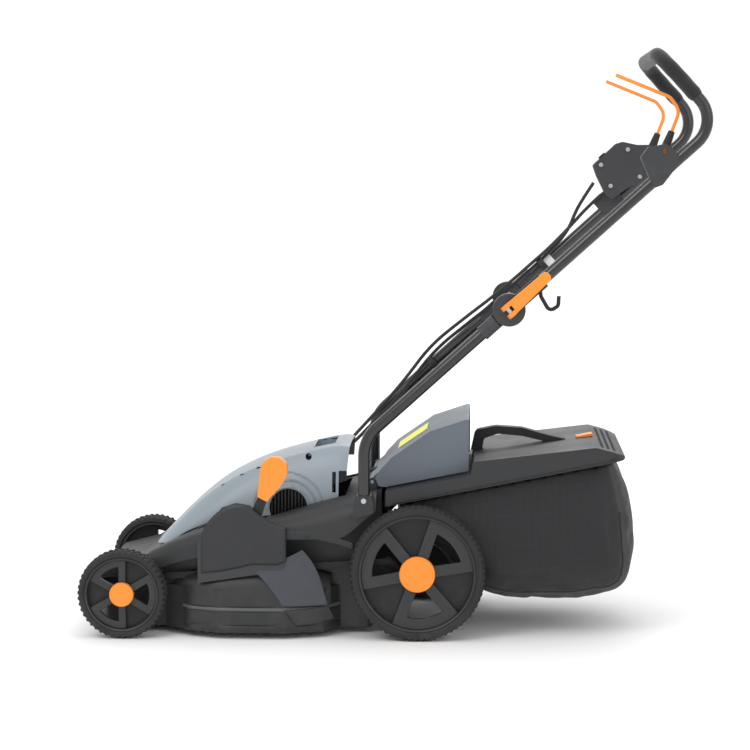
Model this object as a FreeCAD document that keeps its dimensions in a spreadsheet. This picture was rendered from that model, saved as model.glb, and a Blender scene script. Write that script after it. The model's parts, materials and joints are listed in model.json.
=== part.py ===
import FreeCAD, Part
import math
import os
import Sketcher

# Walk-behind electric lawn mower with a rear grass catcher and a folding handle.
# Working frame: x runs to the rear from the front axle, y to the right-hand side as seen
# from the handle, z up from the ground. Every piece is then moved by front_axle_x, so that
# the finished part stands with the middle of its footprint at the origin. Millimetres.

V = FreeCAD.Vector
DOWN_Y = FreeCAD.Rotation(V(1, 0, 0), 90)      # a cylinder's own axis turned to -Y

SIZES = [
    ("front_axle_x", -498.0, "working frame to part frame"),
    ("wheel_base", 547.0, "front axle to rear axle"),
    ("front_wheel_radius", 82.5, "165 mm front wheel"),
    ("rear_wheel_radius", 125.0, "250 mm rear wheel"),
    ("front_tyre_inner", 69.0, "seat of the front tyre on its rim"),
    ("rear_tyre_inner", 108.0, "seat of the rear tyre on its rim"),
    ("front_cap_radius", 22.5, "front hub cap"),
    ("rear_cap_radius", 33.0, "rear hub cap"),
    ("front_hub_radius", 17.0, "front wheel hub"),
    ("rear_hub_radius", 22.0, "rear wheel hub"),
    ("tyre_width", 45.0, "tyre width"),
    ("wheel_y", 207.5, "middle of a wheel from the centre plane"),
    ("axle_radius", 6.0, "12 mm crank axle rod"),
    ("running_gap", 0.08, "radial gap of a bore that runs on a shaft"),
    ("crank_arm", 32.0, "crank arm from pivot to wheel stub"),
    ("crank_tilt", 40.0, "arm angle above level at the lowest cut, degrees"),
    ("tab_length", 48.0, "link tab on each crank axle"),
    ("link_y", 172.0, "middle of the link rod from the centre plane"),
    ("lever_pivot_x", 234.0, "height lever pivot"),
    ("lever_lean", 22.0, "height lever lean from upright, degrees"),
    ("lever_reach", 76.3, "height lever pivot above the link pin"),
    ("motor_x", 236.0, "motor and blade axis"),
    ("blade_length", 418.0, "cutting width"),
    ("chamber_radius", 219.0, "inside of the blade chamber"),
    ("wall", 4.0, "deck wall"),
    ("deck_low", 12.0, "lower lip of the deck"),
    ("deck_top", 92.0, "top of the blade chamber"),
    ("deck_half", 152.0, "half width of the upper deck"),
    ("tube_radius", 11.0, "22 mm handle tube"),
    ("tube_wall", 1.5, "handle tube wall"),
    ("tube_y", 200.0, "handle tube from the centre plane"),
    ("fold_x", 713.0, "handle fold pivot"),
    ("fold_z", 611.0, "handle fold pivot"),
    ("handle_slope", 42.0, "slope of the handle tubes, degrees"),
    ("disc_radius", 30.0, "fold disc"),
    ("disc_width", 13.5, "fold disc thickness"),
    ("grip_radius", 14.0, "foam grip"),
    ("lever_wire", 3.2, "radius of a switch lever wire"),
    ("switch_x", 992.0, "switch lever shaft"),
    ("switch_z", 898.0, "switch lever shaft"),
    ("catcher_half", 190.0, "half width of the grass catcher"),
    ("flap_half", 140.0, "half width of the rear flap"),
    ("flap_x", 460.0, "flap hinge"),
    ("flap_z", 284.0, "flap hinge"),
    ("hood_half", 129.0, "half width of the motor hood"),
    ("cable_radius", 3.5, "7 mm cable"),
]

doc = FreeCAD.newDocument("push_mower")
sheet = doc.addObject("Spreadsheet::Sheet", "sizes")
for row, (alias, value, note) in enumerate(SIZES, start=1):
    sheet.set("A%d" % row, alias)
    sheet.set("B%d" % row, str(value))
    sheet.set("C%d" % row, note)
    sheet.setAlias("B%d" % row, alias)
doc.recompute()


def size(alias):
    return float(sheet.get(alias))


PARTS = []


def keep(obj, label):
    """Name a finished sub-part and move it from the working frame to the part frame."""
    obj.Label = label
    base = obj.Placement.Base
    obj.setExpression(".Placement.Base.x", "sizes.front_axle_x + %r" % base.x)
    PARTS.append(obj)
    return obj


# ---------------------------------------------------------------- paths and outlines

def tangent_path(points, radii, closed=False):
    """Straight runs joined by tangent arcs. radii is one number, or one for each corner."""
    count = len(points)
    corners = range(count) if closed else range(1, count - 1)
    if not isinstance(radii, (list, tuple)):
        radii = [radii] * len(corners)
    starts, ends, arcs = list(points), list(points), {}
    for corner, radius in zip(corners, radii):
        here = points[corner]
        back = (points[corner - 1] - here).normalize()
        ahead = (points[(corner + 1) % count] - here).normalize()
        half = back.getAngle(ahead) / 2
        if radius <= 0 or abs(half - math.pi / 2) < 1e-4:
            continue
        setback = radius / math.tan(half)
        middle = (back + ahead).normalize()
        centre = here + middle * (radius / math.sin(half))
        starts[corner] = here + back * setback
        ends[corner] = here + ahead * setback
        arcs[corner] = Part.Arc(starts[corner], centre - middle * radius, ends[corner])
    pieces = []
    for index in range(count if closed else count - 1):
        after = (index + 1) % count
        if index in arcs:
            pieces.append(arcs[index])
        if (starts[after] - ends[index]).Length > 1e-6:
            pieces.append(Part.LineSegment(ends[index], starts[after]))
    return pieces


def swept(points, bends, radius, inner=0.0):
    """A round bar or tube along straight runs and tangent arcs."""
    path = Part.Wire([piece.toShape() for piece in tangent_path(points, bends)])
    along = points[1] - points[0]

    def bar(size_of_bar):
        ring = Part.Wire(Part.makeCircle(size_of_bar, points[0], along))
        return path.makePipeShell([ring], True, False)

    solid = bar(radius)
    if inner:
        solid = solid.cut(bar(inner))
    expected = math.pi * (radius ** 2 - inner ** 2) * path.Length
    if abs(solid.Volume - expected) > 0.02 * expected:
        raise ValueError("a swept bar lost volume")
    return solid


def mirrored(shape):
    return shape.mirror(V(0, 0, 0), V(0, 1, 0))


def pair(shape):
    return Part.Compound([shape, mirrored(shape)])


def feature(label, shape):
    obj = doc.addObject("Part::Feature", label)
    obj.Shape = shape
    obj.Placement = FreeCAD.Placement()
    return keep(obj, label)


def flat_points(points):
    return [V(a, b, 0) for a, b in points]


def sketch(body, plane, points, radii=0.0, offset=0.0):
    """A closed outline with rounded corners on one of the body's origin planes."""
    sk = body.newObject("Sketcher::SketchObject", body.Name + "_outline")
    support = [f for f in body.Origin.OriginFeatures if f.Role == plane][0]
    sk.AttachmentSupport = (support, [""])
    sk.MapMode = "FlatFace"
    sk.AttachmentOffset = FreeCAD.Placement(V(0, 0, offset), FreeCAD.Rotation())
    for piece in tangent_path(flat_points(points), radii, closed=True):
        if isinstance(piece, Part.Arc):
            piece = piece.toShape().Curve.trim(*piece.toShape().ParameterRange)
        sk.addGeometry(piece, False)
    return sk


def round_sketch(body, plane, x, y, radius):
    """A circle on one of the body's origin planes."""
    sk = body.newObject("Sketcher::SketchObject", body.Name + "_circle")
    sk.AttachmentSupport = ([f for f in body.Origin.OriginFeatures if f.Role == plane][0], [""])
    sk.MapMode = "FlatFace"
    sk.addGeometry(Part.Circle(V(x, y, 0), V(0, 0, 1), radius), False)
    return sk


def new_body(label):
    return doc.addObject("PartDesign::Body", label)


def pad(body, sk, length, midplane=False):
    made = body.newObject("PartDesign::Pad", body.Name + "_pad")
    made.Profile = sk
    made.setExpression("Length", length)
    made.Midplane = midplane
    return made


def pocket(body, sk, length="", midplane=False, reverse=False):
    made = body.newObject("PartDesign::Pocket", body.Name + "_pocket")
    made.Profile = sk
    if length:
        made.setExpression("Length", length)
    else:
        made.Type = "ThroughAll"
    made.Midplane = midplane
    made.Reversed = reverse
    return made


def turned(label, points, radii=0.0):
    """A body turned about its own Y axis from an outline of (radius, y) points."""
    body = new_body(label)
    sk = sketch(body, "XY_Plane", points, radii)
    made = body.newObject("PartDesign::Revolution", label + "_turn")
    made.Profile = sk
    made.ReferenceAxis = (sk, ["V_Axis"])
    made.Angle = 360
    return body


def side_plate(label, points, near_y, width, radii=0.0):
    """A body cut to a side-view outline of (x, z), from y = near_y and width to the right."""
    body = new_body(label)
    sk = sketch(body, "XZ_Plane", points, radii, offset=-near_y)
    made = pad(body, sk, width)
    made.Reversed = True
    return body


def side_prism(points, near_y, far_y, radii=0.0):
    wire = Part.Wire([p.toShape() for p in
                      tangent_path([V(x, near_y, z) for x, z in points], radii, closed=True)])
    return Part.Face(wire).extrude(V(0, far_y - near_y, 0))


def plan_prism(points, low_z, high_z, radii=0.0):
    wire = Part.Wire([p.toShape() for p in
                      tangent_path([V(x, y, low_z) for x, y in points], radii, closed=True)])
    return Part.Face(wire).extrude(V(0, 0, high_z - low_z))


def box(x0, x1, y0, y1, z0, z1):
    return Part.makeBox(x1 - x0, y1 - y0, z1 - z0, V(x0, y0, z0))


def cross_pin(x, z, y0, y1, radius):
    """A round pin along Y."""
    return Part.makeCylinder(radius, y1 - y0, V(x, y0, z), V(0, 1, 0))


def cylinder(label, radius, length, x, y, z, rotation=FreeCAD.Rotation()):
    """A Part cylinder whose radius and length are expressions on the sheet."""
    made = doc.addObject("Part::Cylinder", label)
    made.setExpression("Radius", radius)
    made.setExpression("Height", length)
    made.Placement = FreeCAD.Placement(V(x, y, z), rotation)
    return made


def along(angle, distance, x, z):
    turn = math.radians(angle)
    return x + distance * math.cos(turn), z + distance * math.sin(turn)


# ---------------------------------------------------------------- places worked out once

REAR_X = size("wheel_base")
FRONT_Z, REAR_Z = size("front_wheel_radius"), size("rear_wheel_radius")
TILT = size("crank_tilt")
FRONT_PIVOT = along(180 + TILT, size("crank_arm"), 0.0, FRONT_Z)
REAR_PIVOT = along(180 + TILT, size("crank_arm"), REAR_X, REAR_Z)
FRONT_TAB = along(90 + TILT, size("tab_length"), *FRONT_PIVOT)
REAR_TAB = along(90 + TILT, size("tab_length"), *REAR_PIVOT)
LINK_SLOPE = (REAR_TAB[1] - FRONT_TAB[1]) / (REAR_TAB[0] - FRONT_TAB[0])
LEVER_X = size("lever_pivot_x")
PIN_X = LEVER_X - size("tab_length") * math.sin(math.radians(TILT))
PIN_Z = FRONT_TAB[1] + LINK_SLOPE * (PIN_X - FRONT_TAB[0])
LEVER_Z = PIN_Z + size("lever_reach")
MOTOR_X = size("motor_x")
WALL = size("wall")
TOP, LOW = size("deck_top"), size("deck_low")
HALF = size("deck_half")
FOLD_X, FOLD_Z = size("fold_x"), size("fold_z")
SLOPE = size("handle_slope")
TUBE, TUBE_Y = size("tube_radius"), size("tube_y")
FOOT_X = 448.0
SWITCH_X, SWITCH_Z = size("switch_x"), size("switch_z")
BAG_SLOPE = math.tan(math.radians(11.3))


# ---------------------------------------------------------------- wheels

def window_outline(centre, inner, outer, half_angle):
    """A fan-shaped opening in a wheel, as four corners about its middle angle."""
    points = []
    for angle, reach in ((-half_angle, inner), (-half_angle, outer), (half_angle, outer), (half_angle, inner)):
        points.append(along(centre + angle, reach, 0.0, 0.0))
    return points


def wheel(place, x, side, rolling_radius, seat, hub, cap, first_window):
    """Rim, tyre and hub cap of one wheel. side is -1 on the left and +1 on the right."""
    half = size("tyre_width") / 2
    bore = size("axle_radius") + size("running_gap")
    ring = seat - 4
    turn = FreeCAD.Rotation() if side < 0 else FreeCAD.Rotation(V(0, 0, 1), 180)
    where = FreeCAD.Placement(V(x, side * size("wheel_y"), rolling_radius), turn)

    rim = turned(place + "_rim", [
        (bore, -12), (hub, -12), (hub, -9), (ring, -9), (ring, -19), (seat, -19), (seat, 19),
        (ring, 19), (ring, -4), (hub, -4), (hub, 18), (bore, 18)])
    sk = sketch(rim, "XZ_Plane", window_outline(first_window, hub + 9, ring - 8, 24.0), 4.0)
    cut = pocket(rim, sk, midplane=True)
    ring_of_windows = rim.newObject("PartDesign::PolarPattern", place + "_windows")
    ring_of_windows.Originals = [cut]
    ring_of_windows.Axis = (sk, ["N_Axis"])
    ring_of_windows.Occurrences = 3
    ring_of_windows.Angle = 360
    rim.Tip = ring_of_windows
    rim.Placement = where
    keep(rim, place + "_rim")

    tyre = turned(place + "_tyre", [(seat, -half), (rolling_radius, -half), (rolling_radius, half), (seat, half)],
                  [0.0, 5.0, 5.0, 0.0])
    tyre.Placement = where
    keep(tyre, place + "_tyre")

    button = turned(place + "_cap", [(0, -20), (cap, -20), (cap, -9.0), (cap - 2.5, -9.0), (cap - 2.5, -17), (0, -17)],
                    [0.0, 1.5, 0.0, 0.0, 0.0, 0.0])
    button.Placement = where
    keep(button, place + "_cap")


for side, name in ((-1, "left"), (1, "right")):
    wheel("front_%s_wheel" % name, 0.0, side, FRONT_Z, size("front_tyre_inner"),
          size("front_hub_radius"), size("front_cap_radius"), 0.0)
    wheel("rear_%s_wheel" % name, REAR_X, side, REAR_Z, size("rear_tyre_inner"),
          size("rear_hub_radius"), size("rear_cap_radius"), 40.0)


# ---------------------------------------------------------------- crank axles and height lever

def crank_axle(label, wheel_x, wheel_z, pivot, tab):
    """A 12 mm rod bent into a crank at each end, with a welded tab for the link rod."""
    stub, arm, rod = size("wheel_y") + 14.5, 176.0, size("axle_radius")
    route = [V(wheel_x, -stub, wheel_z), V(wheel_x, -arm, wheel_z), V(pivot[0], -arm, pivot[1]),
             V(pivot[0], arm, pivot[1]), V(wheel_x, arm, wheel_z), V(wheel_x, stub, wheel_z)]
    bar = swept(route, 9.0, rod)
    strip = side_prism([along(TILT, 7, *pivot), along(TILT, 7, *tab), along(TILT + 90, 8, *tab),
                        along(TILT, -7, *tab), along(TILT, -7, *pivot), along(TILT + 90, -9, *pivot)],
                       -167.6, -164.0)
    strip = strip.fuse(cross_pin(tab[0], tab[1], -178.5, -166.0, 3.0))
    return feature(label, bar.fuse(strip).removeSplitter())


crank_axle("front_axle", 0.0, FRONT_Z, FRONT_PIVOT, FRONT_TAB)
crank_axle("rear_axle", REAR_X, REAR_Z, REAR_PIVOT, REAR_TAB)


def wheel_nuts(label, x, z):
    nut = cross_pin(x, z, -size("wheel_y") - 15.0, -size("wheel_y") - 12.2, 10.0)
    nut = nut.cut(cross_pin(x, z, -size("wheel_y") - 16.0, -size("wheel_y") - 12.0, size("axle_radius")))
    return feature(label, pair(nut))


wheel_nuts("front_wheel_nuts", 0.0, FRONT_Z)
wheel_nuts("rear_wheel_nuts", REAR_X, REAR_Z)

link_y = size("link_y")
eye = 3.0 + size("running_gap")
bar_half = 6.0
link = side_prism([(FRONT_TAB[0] - 7, FRONT_TAB[1] - bar_half), (REAR_TAB[0] + 7, REAR_TAB[1] - bar_half),
                   (REAR_TAB[0] + 7, REAR_TAB[1] + bar_half), (FRONT_TAB[0] - 7, FRONT_TAB[1] + bar_half)],
                  -link_y - 2, -link_y + 2, 3.0)
for x, z in (FRONT_TAB, REAR_TAB):
    link = link.cut(cross_pin(x, z, -link_y - 4, -link_y + 4, eye))
link = link.fuse(cross_pin(PIN_X, PIN_Z, -208.0, -link_y, 3.0))
feature("link_rod", link.removeSplitter())

# The lever is a flat steel strip: a slot for the link pin below its pivot, the knob above it.
lever_angle = 90.0 - size("lever_lean")
across = 90.0 + lever_angle


def lever_point(reach, aside):
    x, z = along(lever_angle, reach, LEVER_X, LEVER_Z)
    return along(across, aside, x, z)


lever = side_plate("height_lever", [
    lever_point(-95, -11.5), lever_point(8, -12), lever_point(100, -7.5), lever_point(100, 7.5),
    lever_point(8, 12), lever_point(-95, 11.5)], -206.0, "4", 4.0)
slot = sketch(lever, "XZ_Plane", [lever_point(-90.5, -6.8), lever_point(-59, -6.8), lever_point(-59, 6.8),
                                  lever_point(-90.5, 6.8)], 5.0)
pocket(lever, slot, midplane=True)
lever_bolt = 4.0
pocket(lever, round_sketch(lever, "XZ_Plane", LEVER_X, LEVER_Z, lever_bolt + size("running_gap")), midplane=True)
keep(lever, "height_lever")

knob = side_plate("height_knob", [
    lever_point(70, -10), lever_point(72, 10), lever_point(104, 18), lever_point(132, 26),
    lever_point(150, 14), lever_point(155, -2), lever_point(149, -18), lever_point(130, -27), lever_point(104, -22)],
    -214.0, "20", [3, 4, 12, 22, 10, 10, 14, 22, 12])
socket = sketch(knob, "XZ_Plane", [lever_point(60, -9.7), lever_point(100.2, -7.7), lever_point(100.2, 7.7),
                                   lever_point(60, 9.7)], 0.0, offset=206.0)
pocket(knob, socket, "4")
keep(knob, "height_knob")

# ---------------------------------------------------------------- deck

def deck_shape():
    """Blade chamber, front nose, upper tub under the hood, rear chute and axle bearings."""
    radius = size("chamber_radius")
    front, rear = -66.0, 460.0
    plan = [(front, -118), (-40, -HALF), (92, -HALF), (118, -196), (178, -220), (300, -220), (372, -196),
            (398, -HALF), (rear, -HALF), (rear, HALF), (398, HALF), (372, 196), (300, 220), (178, 220),
            (118, 196), (92, HALF), (-40, HALF), (front, 118)]
    inner = [(x + (WALL if x < 0 else -WALL if x > 400 else 0), y - WALL if y > 0 else y + WALL) for x, y in plan]
    tray = plan_prism(plan, LOW, TOP, 10.0)
    hollow = plan_prism(inner, LOW - 1, TOP - WALL, 6.0)
    chamber = Part.makeCylinder(radius + WALL, TOP - LOW, V(MOTOR_X, 0, LOW))
    chamber = chamber.common(box(0, 600, -220, 220, 0, 200))
    swing = Part.makeCylinder(radius, TOP - WALL - LOW + 1, V(MOTOR_X, 0, LOW - 1))
    tray = tray.cut(hollow).fuse(chamber).cut(swing.common(box(0, 600, -216.5, 216.5, 0, 200)))

    nose = [(front, TOP - 6), (front, 98), (-50, 117), (-20, 125), (20, 135), (44, 150), (128, 193), (163, 212), (291, 214),
            (328, 234), (434, 262), (478, 272), (478, 180), (rear, 150), (rear, TOP - 6)]
    upper = side_prism(nose, -HALF, HALF, 3.0)
    room = [(front + WALL, TOP - 20), (front + WALL, 96), (-47, 112.5), (-19, 120.5), (22, 130.5), (46, 146), (130, 188.5),
            (164, 207.5), (290, 209.5), (327, 229.5), (433, 257.5), (500, 272), (500, 96), (rear, TOP),
            (rear, TOP - 20)]
    upper = upper.cut(side_prism(room, -HALF + WALL, HALF - WALL))
    body = tray.fuse(upper)
    # open top under the hood, closed again behind the motor by the roof of the grass chute
    body = body.cut(box(58, 408, -130, 130, 150, 300))
    duct_half = 108.0
    duct = side_prism([(318, TOP - WALL), (420, 206), (rear, 206), (rear, 210), (418, 210), (312, TOP - WALL)],
                      -duct_half - WALL, duct_half + WALL)
    for side in (-1, 1):
        near = min(side * duct_half, side * (duct_half + WALL))
        duct = duct.fuse(side_prism([(315, TOP - WALL), (419, 207), (rear, 207), (rear, TOP - WALL)],
                                    near, near + WALL))
    body = body.fuse(duct)
    body = body.cut(box(326, 454, -duct_half, duct_half, TOP - 10, TOP + 2))
    body = body.cut(box(400, 480, -duct_half, duct_half, 40, 200))
    # cheeks that carry the rear crank axle, and the holes that both crank axles turn in
    for side in (-1, 1):
        near = min(side * HALF, side * (HALF - WALL))
        cheek = side_prism([(446, 60), (500, 84), (538, 96), (538, 114), (506, 128), (446, 150)], near, near + WALL, 4.0)
        body = body.fuse(cheek)
    for x, z in (FRONT_PIVOT, REAR_PIVOT):
        body = body.cut(cross_pin(x, z, -HALF - 10, HALF + 10, size("axle_radius") + size("running_gap")))
    # bore for the lever pivot and boss behind it
    boss = cross_pin(LEVER_X, LEVER_Z, -198.0, -HALF + 1, 11.0)
    body = body.fuse(boss).cut(cross_pin(LEVER_X, LEVER_Z, -214.0, -174.9, lever_bolt))
    # motor seat: a hole for the shaft and lower bearing
    body = body.cut(Part.makeCylinder(13.2, 30, V(MOTOR_X, 0, TOP - 20)))
    # feet of the handle tubes on the rear shoulders
    for side in (-1, 1):
        y0, y1 = sorted((side * (HALF - 2), side * 214.0))
        foot = side_prism([(430, 226), (466, 236), (466, 254), (463, 268), (433, 268), (430, 254)], y0, y1, 3.0)
        foot = foot.cut(Part.makeCylinder(TUBE + 0.02, 40, V(FOOT_X, side * TUBE_Y, 242.0)))
        body = body.fuse(foot)
    # knuckles of the flap hinge
    for side in (-1, 1):
        y0, y1 = sorted((side * 128.0, side * 138.0))
        ear = side_prism([(446, 250), (466, 250), (468, 284), (460, 292), (450, 288)], y0, y1, 3.0)
        body = body.fuse(ear)
    body = body.cut(cross_pin(size("flap_x"), size("flap_z"), -145, 145, 3.0))
    return body.removeSplitter()


feature("deck", deck_shape())


def side_covers():
    """Bell-shaped cover of the height mechanism on the left, its plain twin on the right."""
    bell = [(141, 104), (300, 128), (303, 140), (303, 202), (265, 216), (238, 250), (213, 254), (186, 245),
            (168, 214), (148, 196), (141, 175)]
    inset = [(144, 107), (297, 130.5), (300, 142), (300, 199.5), (263, 213.5), (236, 247), (213, 251), (188, 242.5),
             (170.5, 212), (151, 194), (144, 173)]
    shell = side_prism(bell, -216.0, -199.5, 3.0).cut(side_prism(inset, -213.0, -190.0, 2.0))
    for x, z in ((156, 165), (293, 178), (180, 203)):
        shell = shell.fuse(cross_pin(x, z, -214.0, -HALF, 5.0))
    # room for the lever through the roof, and for its lower end and the link pin through the floor
    slotted = shell.cut(box(LEVER_X - 62, LEVER_X + 62, -208.6, -199.0, 205, 270))
    slotted = slotted.cut(box(LEVER_X - 56, LEVER_X + 56, -208.6, -199.0, 90, 134))
    return Part.Compound([slotted, mirrored(shell)])


feature("side_covers", side_covers())


# ---------------------------------------------------------------- motor hood

HOOD_SCREW, HOOD_SCREW_X, HOOD_SCREW_Y, HOOD_SCREW_Z = 4.5, 338.0, 84.0, 326.0
# the last straight runs of the two cables, from inside the hood to just outside its rear end
CABLE_ENDS = [(V(402, 84, 322), V(420, 112, 336)), (V(396, 74, 326), V(412, 102, 342))]


def hood_section(y, inset=0.0):
    """Side-view outline of the hood at one distance from the centre plane."""
    share = abs(y) / size("hood_half")
    crest = [(52, 168), (74, 186), (114, 224), (153, 260), (193, 284), (247, 310), (300, 325), (355, 338),
             (412, 348)]
    eave = [(82, 176), (98, 184), (128, 196), (163, 222), (193, 232), (247, 238), (300, 242), (355, 250), (404, 262)]
    share = max(0.0, (share - 0.62) / 0.38)
    top = []
    for (cx, cz), (ex, ez) in zip(crest, eave):
        drop = 1 - math.sqrt(max(0.0, 1 - 0.9 * share ** 2))
        drop = drop / (1 - math.sqrt(0.1))
        top.append((cx + (ex - cx) * drop, cz + (ez - cz) * drop + 3 * (1 - abs(y) / size("hood_half"))))
    start, stop = top[0][0], top[-1][0]
    low = [(stop, 250.0), (380, 226.0), (330, 208.0), (start + 60, 172.0), (start, 162.0)]
    if not inset:
        return [V(x, y, z) for x, z in top + low]
    top = [(x, z - inset) for x, z in top]
    top[0] = (start + inset, top[0][1])
    top[-1] = (stop - inset, top[-1][1])
    low = [(stop - inset, 240.0), (380, 205.0), (330, 190.0), (start + 60, 150.0), (start + inset, 130.0)]
    return [V(x, y, z) for x, z in top + low]


def hood_loft(half, inset=0.0):
    steps = [-1.0, -0.96, -0.88, -0.76, -0.6, 0.6, 0.76, 0.88, 0.96, 1.0]
    wires = [Part.makePolygon(pts + [pts[0]]) for pts in (hood_section(s * half, inset) for s in steps)]
    return Part.makeLoft(wires, True, True)


def hood_shape():
    shell = hood_loft(size("hood_half")).cut(hood_loft(size("hood_half") - 3.0, 3.0))
    # carry handle: a finger well sunk just in front of the rear end
    well = plan_prism([(340, -66), (392, -66), (392, 66), (340, 66)], 296, 400, 8.0)
    shell = shell.fuse(well.common(hood_loft(size("hood_half"))))
    shell = shell.cut(plan_prism([(344, -62), (388, -62), (388, 62), (344, 62)], 299, 400, 8.0))
    # stepped undercut below the handle, and an arched vent and a sunk screw in each side
    shell = shell.cut(box(392, 430, -140, 140, 240, 300))
    for side in (-1, 1):
        cup = Part.makeCylinder(HOOD_SCREW + 4, 30, V(HOOD_SCREW_X, side * HOOD_SCREW_Y, HOOD_SCREW_Z - 4))
        shell = shell.fuse(cup.common(hood_loft(size("hood_half"))))
        shell = shell.cut(Part.makeCylinder(HOOD_SCREW + 0.5, 40, V(HOOD_SCREW_X, side * HOOD_SCREW_Y, HOOD_SCREW_Z)))
        vent = cross_pin(302, 226, min(side * 90, side * 140), max(side * 90, side * 140), 38.0)
        shell = shell.cut(vent)
    for inner, outer in CABLE_ENDS:
        run = outer - inner
        shell = shell.cut(Part.makeCylinder(size("cable_radius") + 0.5, run.Length + 8, inner - run * 0.1, run))
    return shell.removeSplitter()


def hood_grille(side):
    """Arched grille with upright louvres behind the vent."""
    y0, y1 = sorted((side * 112.0, side * 116.0))
    frame = cross_pin(302, 226, y0, y1, 37.0).cut(cross_pin(302, 226, y0 - 1, y1 + 1, 34.0))
    for step in range(-4, 5):
        x = 302 + step * 7.5
        frame = frame.fuse(box(x - 1.6, x + 1.6, y0, y1, 190, 262).common(cross_pin(302, 226, y0, y1, 36.0)))
    return frame.common(box(200, 400, -140, 140, 226, 300))


feature("motor_hood", hood_shape())
feature("hood_grilles", Part.Compound([hood_grille(-1), hood_grille(1)]))


# ---------------------------------------------------------------- motor and blade

def motor_case():
    case = Part.makeCylinder(58, 112, V(MOTOR_X, 0, TOP)).cut(Part.makeCylinder(55, 105, V(MOTOR_X, 0, TOP + 3)))
    case = case.cut(Part.makeCylinder(13.0, 4, V(MOTOR_X, 0, TOP - 0.5)))
    for step in range(3):
        turn = math.radians(30 + 120 * step)
        lug = Part.makeCylinder(9, 6, V(MOTOR_X + 62 * math.cos(turn), 62 * math.sin(turn), TOP))
        case = case.fuse(lug)
    seat = Part.makeCylinder(17, 12, V(MOTOR_X, 0, TOP + 100))
    case = case.fuse(seat).cut(Part.makeCylinder(13.0, 9, V(MOTOR_X, 0, TOP + 98)))
    case = case.cut(Part.makeCylinder(5.5, 40, V(MOTOR_X, 0, TOP + 90)))
    return case.cut(Part.makeCylinder(55, 97, V(MOTOR_X, 0, TOP + 3))).removeSplitter()


feature("motor_case", motor_case())

stator = doc.addObject("Part::Cut", "stator_ring")
stator.Base = cylinder("stator_core", "54.9", "62", MOTOR_X, 0, TOP + 20)
stator.Tool = cylinder("stator_bore", "31", "70", MOTOR_X, 0, TOP + 16)
keep(stator, "motor_stator")


def ball_bearing(z):
    ring = Part.makeCylinder(12.98, 8, V(MOTOR_X, 0, z))
    return ring.cut(Part.makeCylinder(5.0 + size("running_gap"), 10, V(MOTOR_X, 0, z - 1)))


feature("motor_bearings", Part.Compound([ball_bearing(TOP - 4), ball_bearing(TOP + 98)]))

BLADE_Z = 30.0
shaft = Part.makeCylinder(5.0, 172, V(MOTOR_X, 0, BLADE_Z + 4))
core = Part.makeCylinder(30.0, 62, V(MOTOR_X, 0, TOP + 20))
feature("rotor_shaft", shaft.fuse(core).removeSplitter())

fan = Part.makeCylinder(9, 12, V(MOTOR_X, 0, TOP + 6))
for step in range(9):
    vane = box(8, 46, -1.2, 1.2, TOP + 6, TOP + 16)
    vane.rotate(V(0, 0, 0), V(0, 0, 1), 40 * step)
    fan = fan.fuse(vane.translated(V(MOTOR_X, 0, 0)))
fan = fan.fuse(Part.makeCylinder(46, 2, V(MOTOR_X, 0, TOP + 6)))
feature("cooling_fan", fan.cut(Part.makeCylinder(5.0, 30, V(MOTOR_X, 0, TOP))).removeSplitter())

carrier = turned("blade_carrier", [(5.0, 4.2), (26, 4.2), (26, 9), (14, 12), (14, 40), (5.0, 40)], [0, 2, 2, 3, 2, 0])
carrier.Placement = FreeCAD.Placement(V(MOTOR_X, 0, BLADE_Z), FreeCAD.Rotation(V(1, 0, 0), 90))
keep(carrier, "blade_carrier")


def blade_shape():
    """A flat bar with sharpened leading edges and lifted trailing wings."""
    half = size("blade_length") / 2
    bar = box(-half, half, -24, 24, 0, 4)
    for turn in (0, 180):
        edge = Part.Face(Part.makePolygon([V(90, -25, -1), V(90, -25, 3.4), V(90, -14, -1), V(90, -25, -1)]))
        edge = edge.extrude(V(half - 89, 0, 0))
        wing = Part.Face(Part.makePolygon([V(130, 24, 0), V(130, 32, 14), V(130, 29, 15.5), V(130, 20, 4), V(130, 24, 0)]))
        wing = wing.extrude(V(half - 132, 0, 0))
        for tool in (edge, wing):
            tool.rotate(V(0, 0, 0), V(0, 0, 1), turn)
        bar = bar.cut(edge).fuse(wing)
    bar = bar.cut(Part.makeCylinder(5.1, 10, V(0, 0, -1)))
    bar = bar.common(Part.makeCylinder(half, 40, V(0, 0, -5)))
    return bar.translated(V(MOTOR_X, 0, BLADE_Z)).removeSplitter()


feature("blade", blade_shape())
screw = Part.makeCylinder(5.0, 4.0, V(MOTOR_X, 0, BLADE_Z)).fuse(Part.makeCylinder(13, 3, V(MOTOR_X, 0, BLADE_Z - 3.1)))
hexagon = [along(60 * k, 9.8, MOTOR_X, 0.0) for k in range(6)]
feature("blade_bolt", screw.fuse(plan_prism(hexagon, BLADE_Z - 9.5, BLADE_Z - 3.0)).removeSplitter())


# ---------------------------------------------------------------- rear flap

def flap_shape():
    half = size("flap_half")
    skin = [(466, 292), (476, 308), (497, 331), (568, 380), (640, 404), (640, 306), (486, 275), (472, 276)]
    inside = [(473, 289), (480, 305), (500, 327), (570, 376), (650, 402.5), (650, 290), (486, 262), (472, 262)]
    shell = side_prism(skin, -half, half, 4.0).cut(side_prism(inside, -half + 3.5, half - 3.5, 3.0))
    barrel = cross_pin(size("flap_x"), size("flap_z"), -126.0, 126.0, 7.0)
    web = side_prism([(460, 279), (472, 281), (479, 296), (472, 302), (460, 291)], -126.0, 126.0)
    shell = shell.fuse(barrel.fuse(web)).cut(cross_pin(size("flap_x"), size("flap_z"), -150, 150, 3.08))
    return shell.cut(box(440, 490, -30, 30, 274, 293)).removeSplitter()


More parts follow.
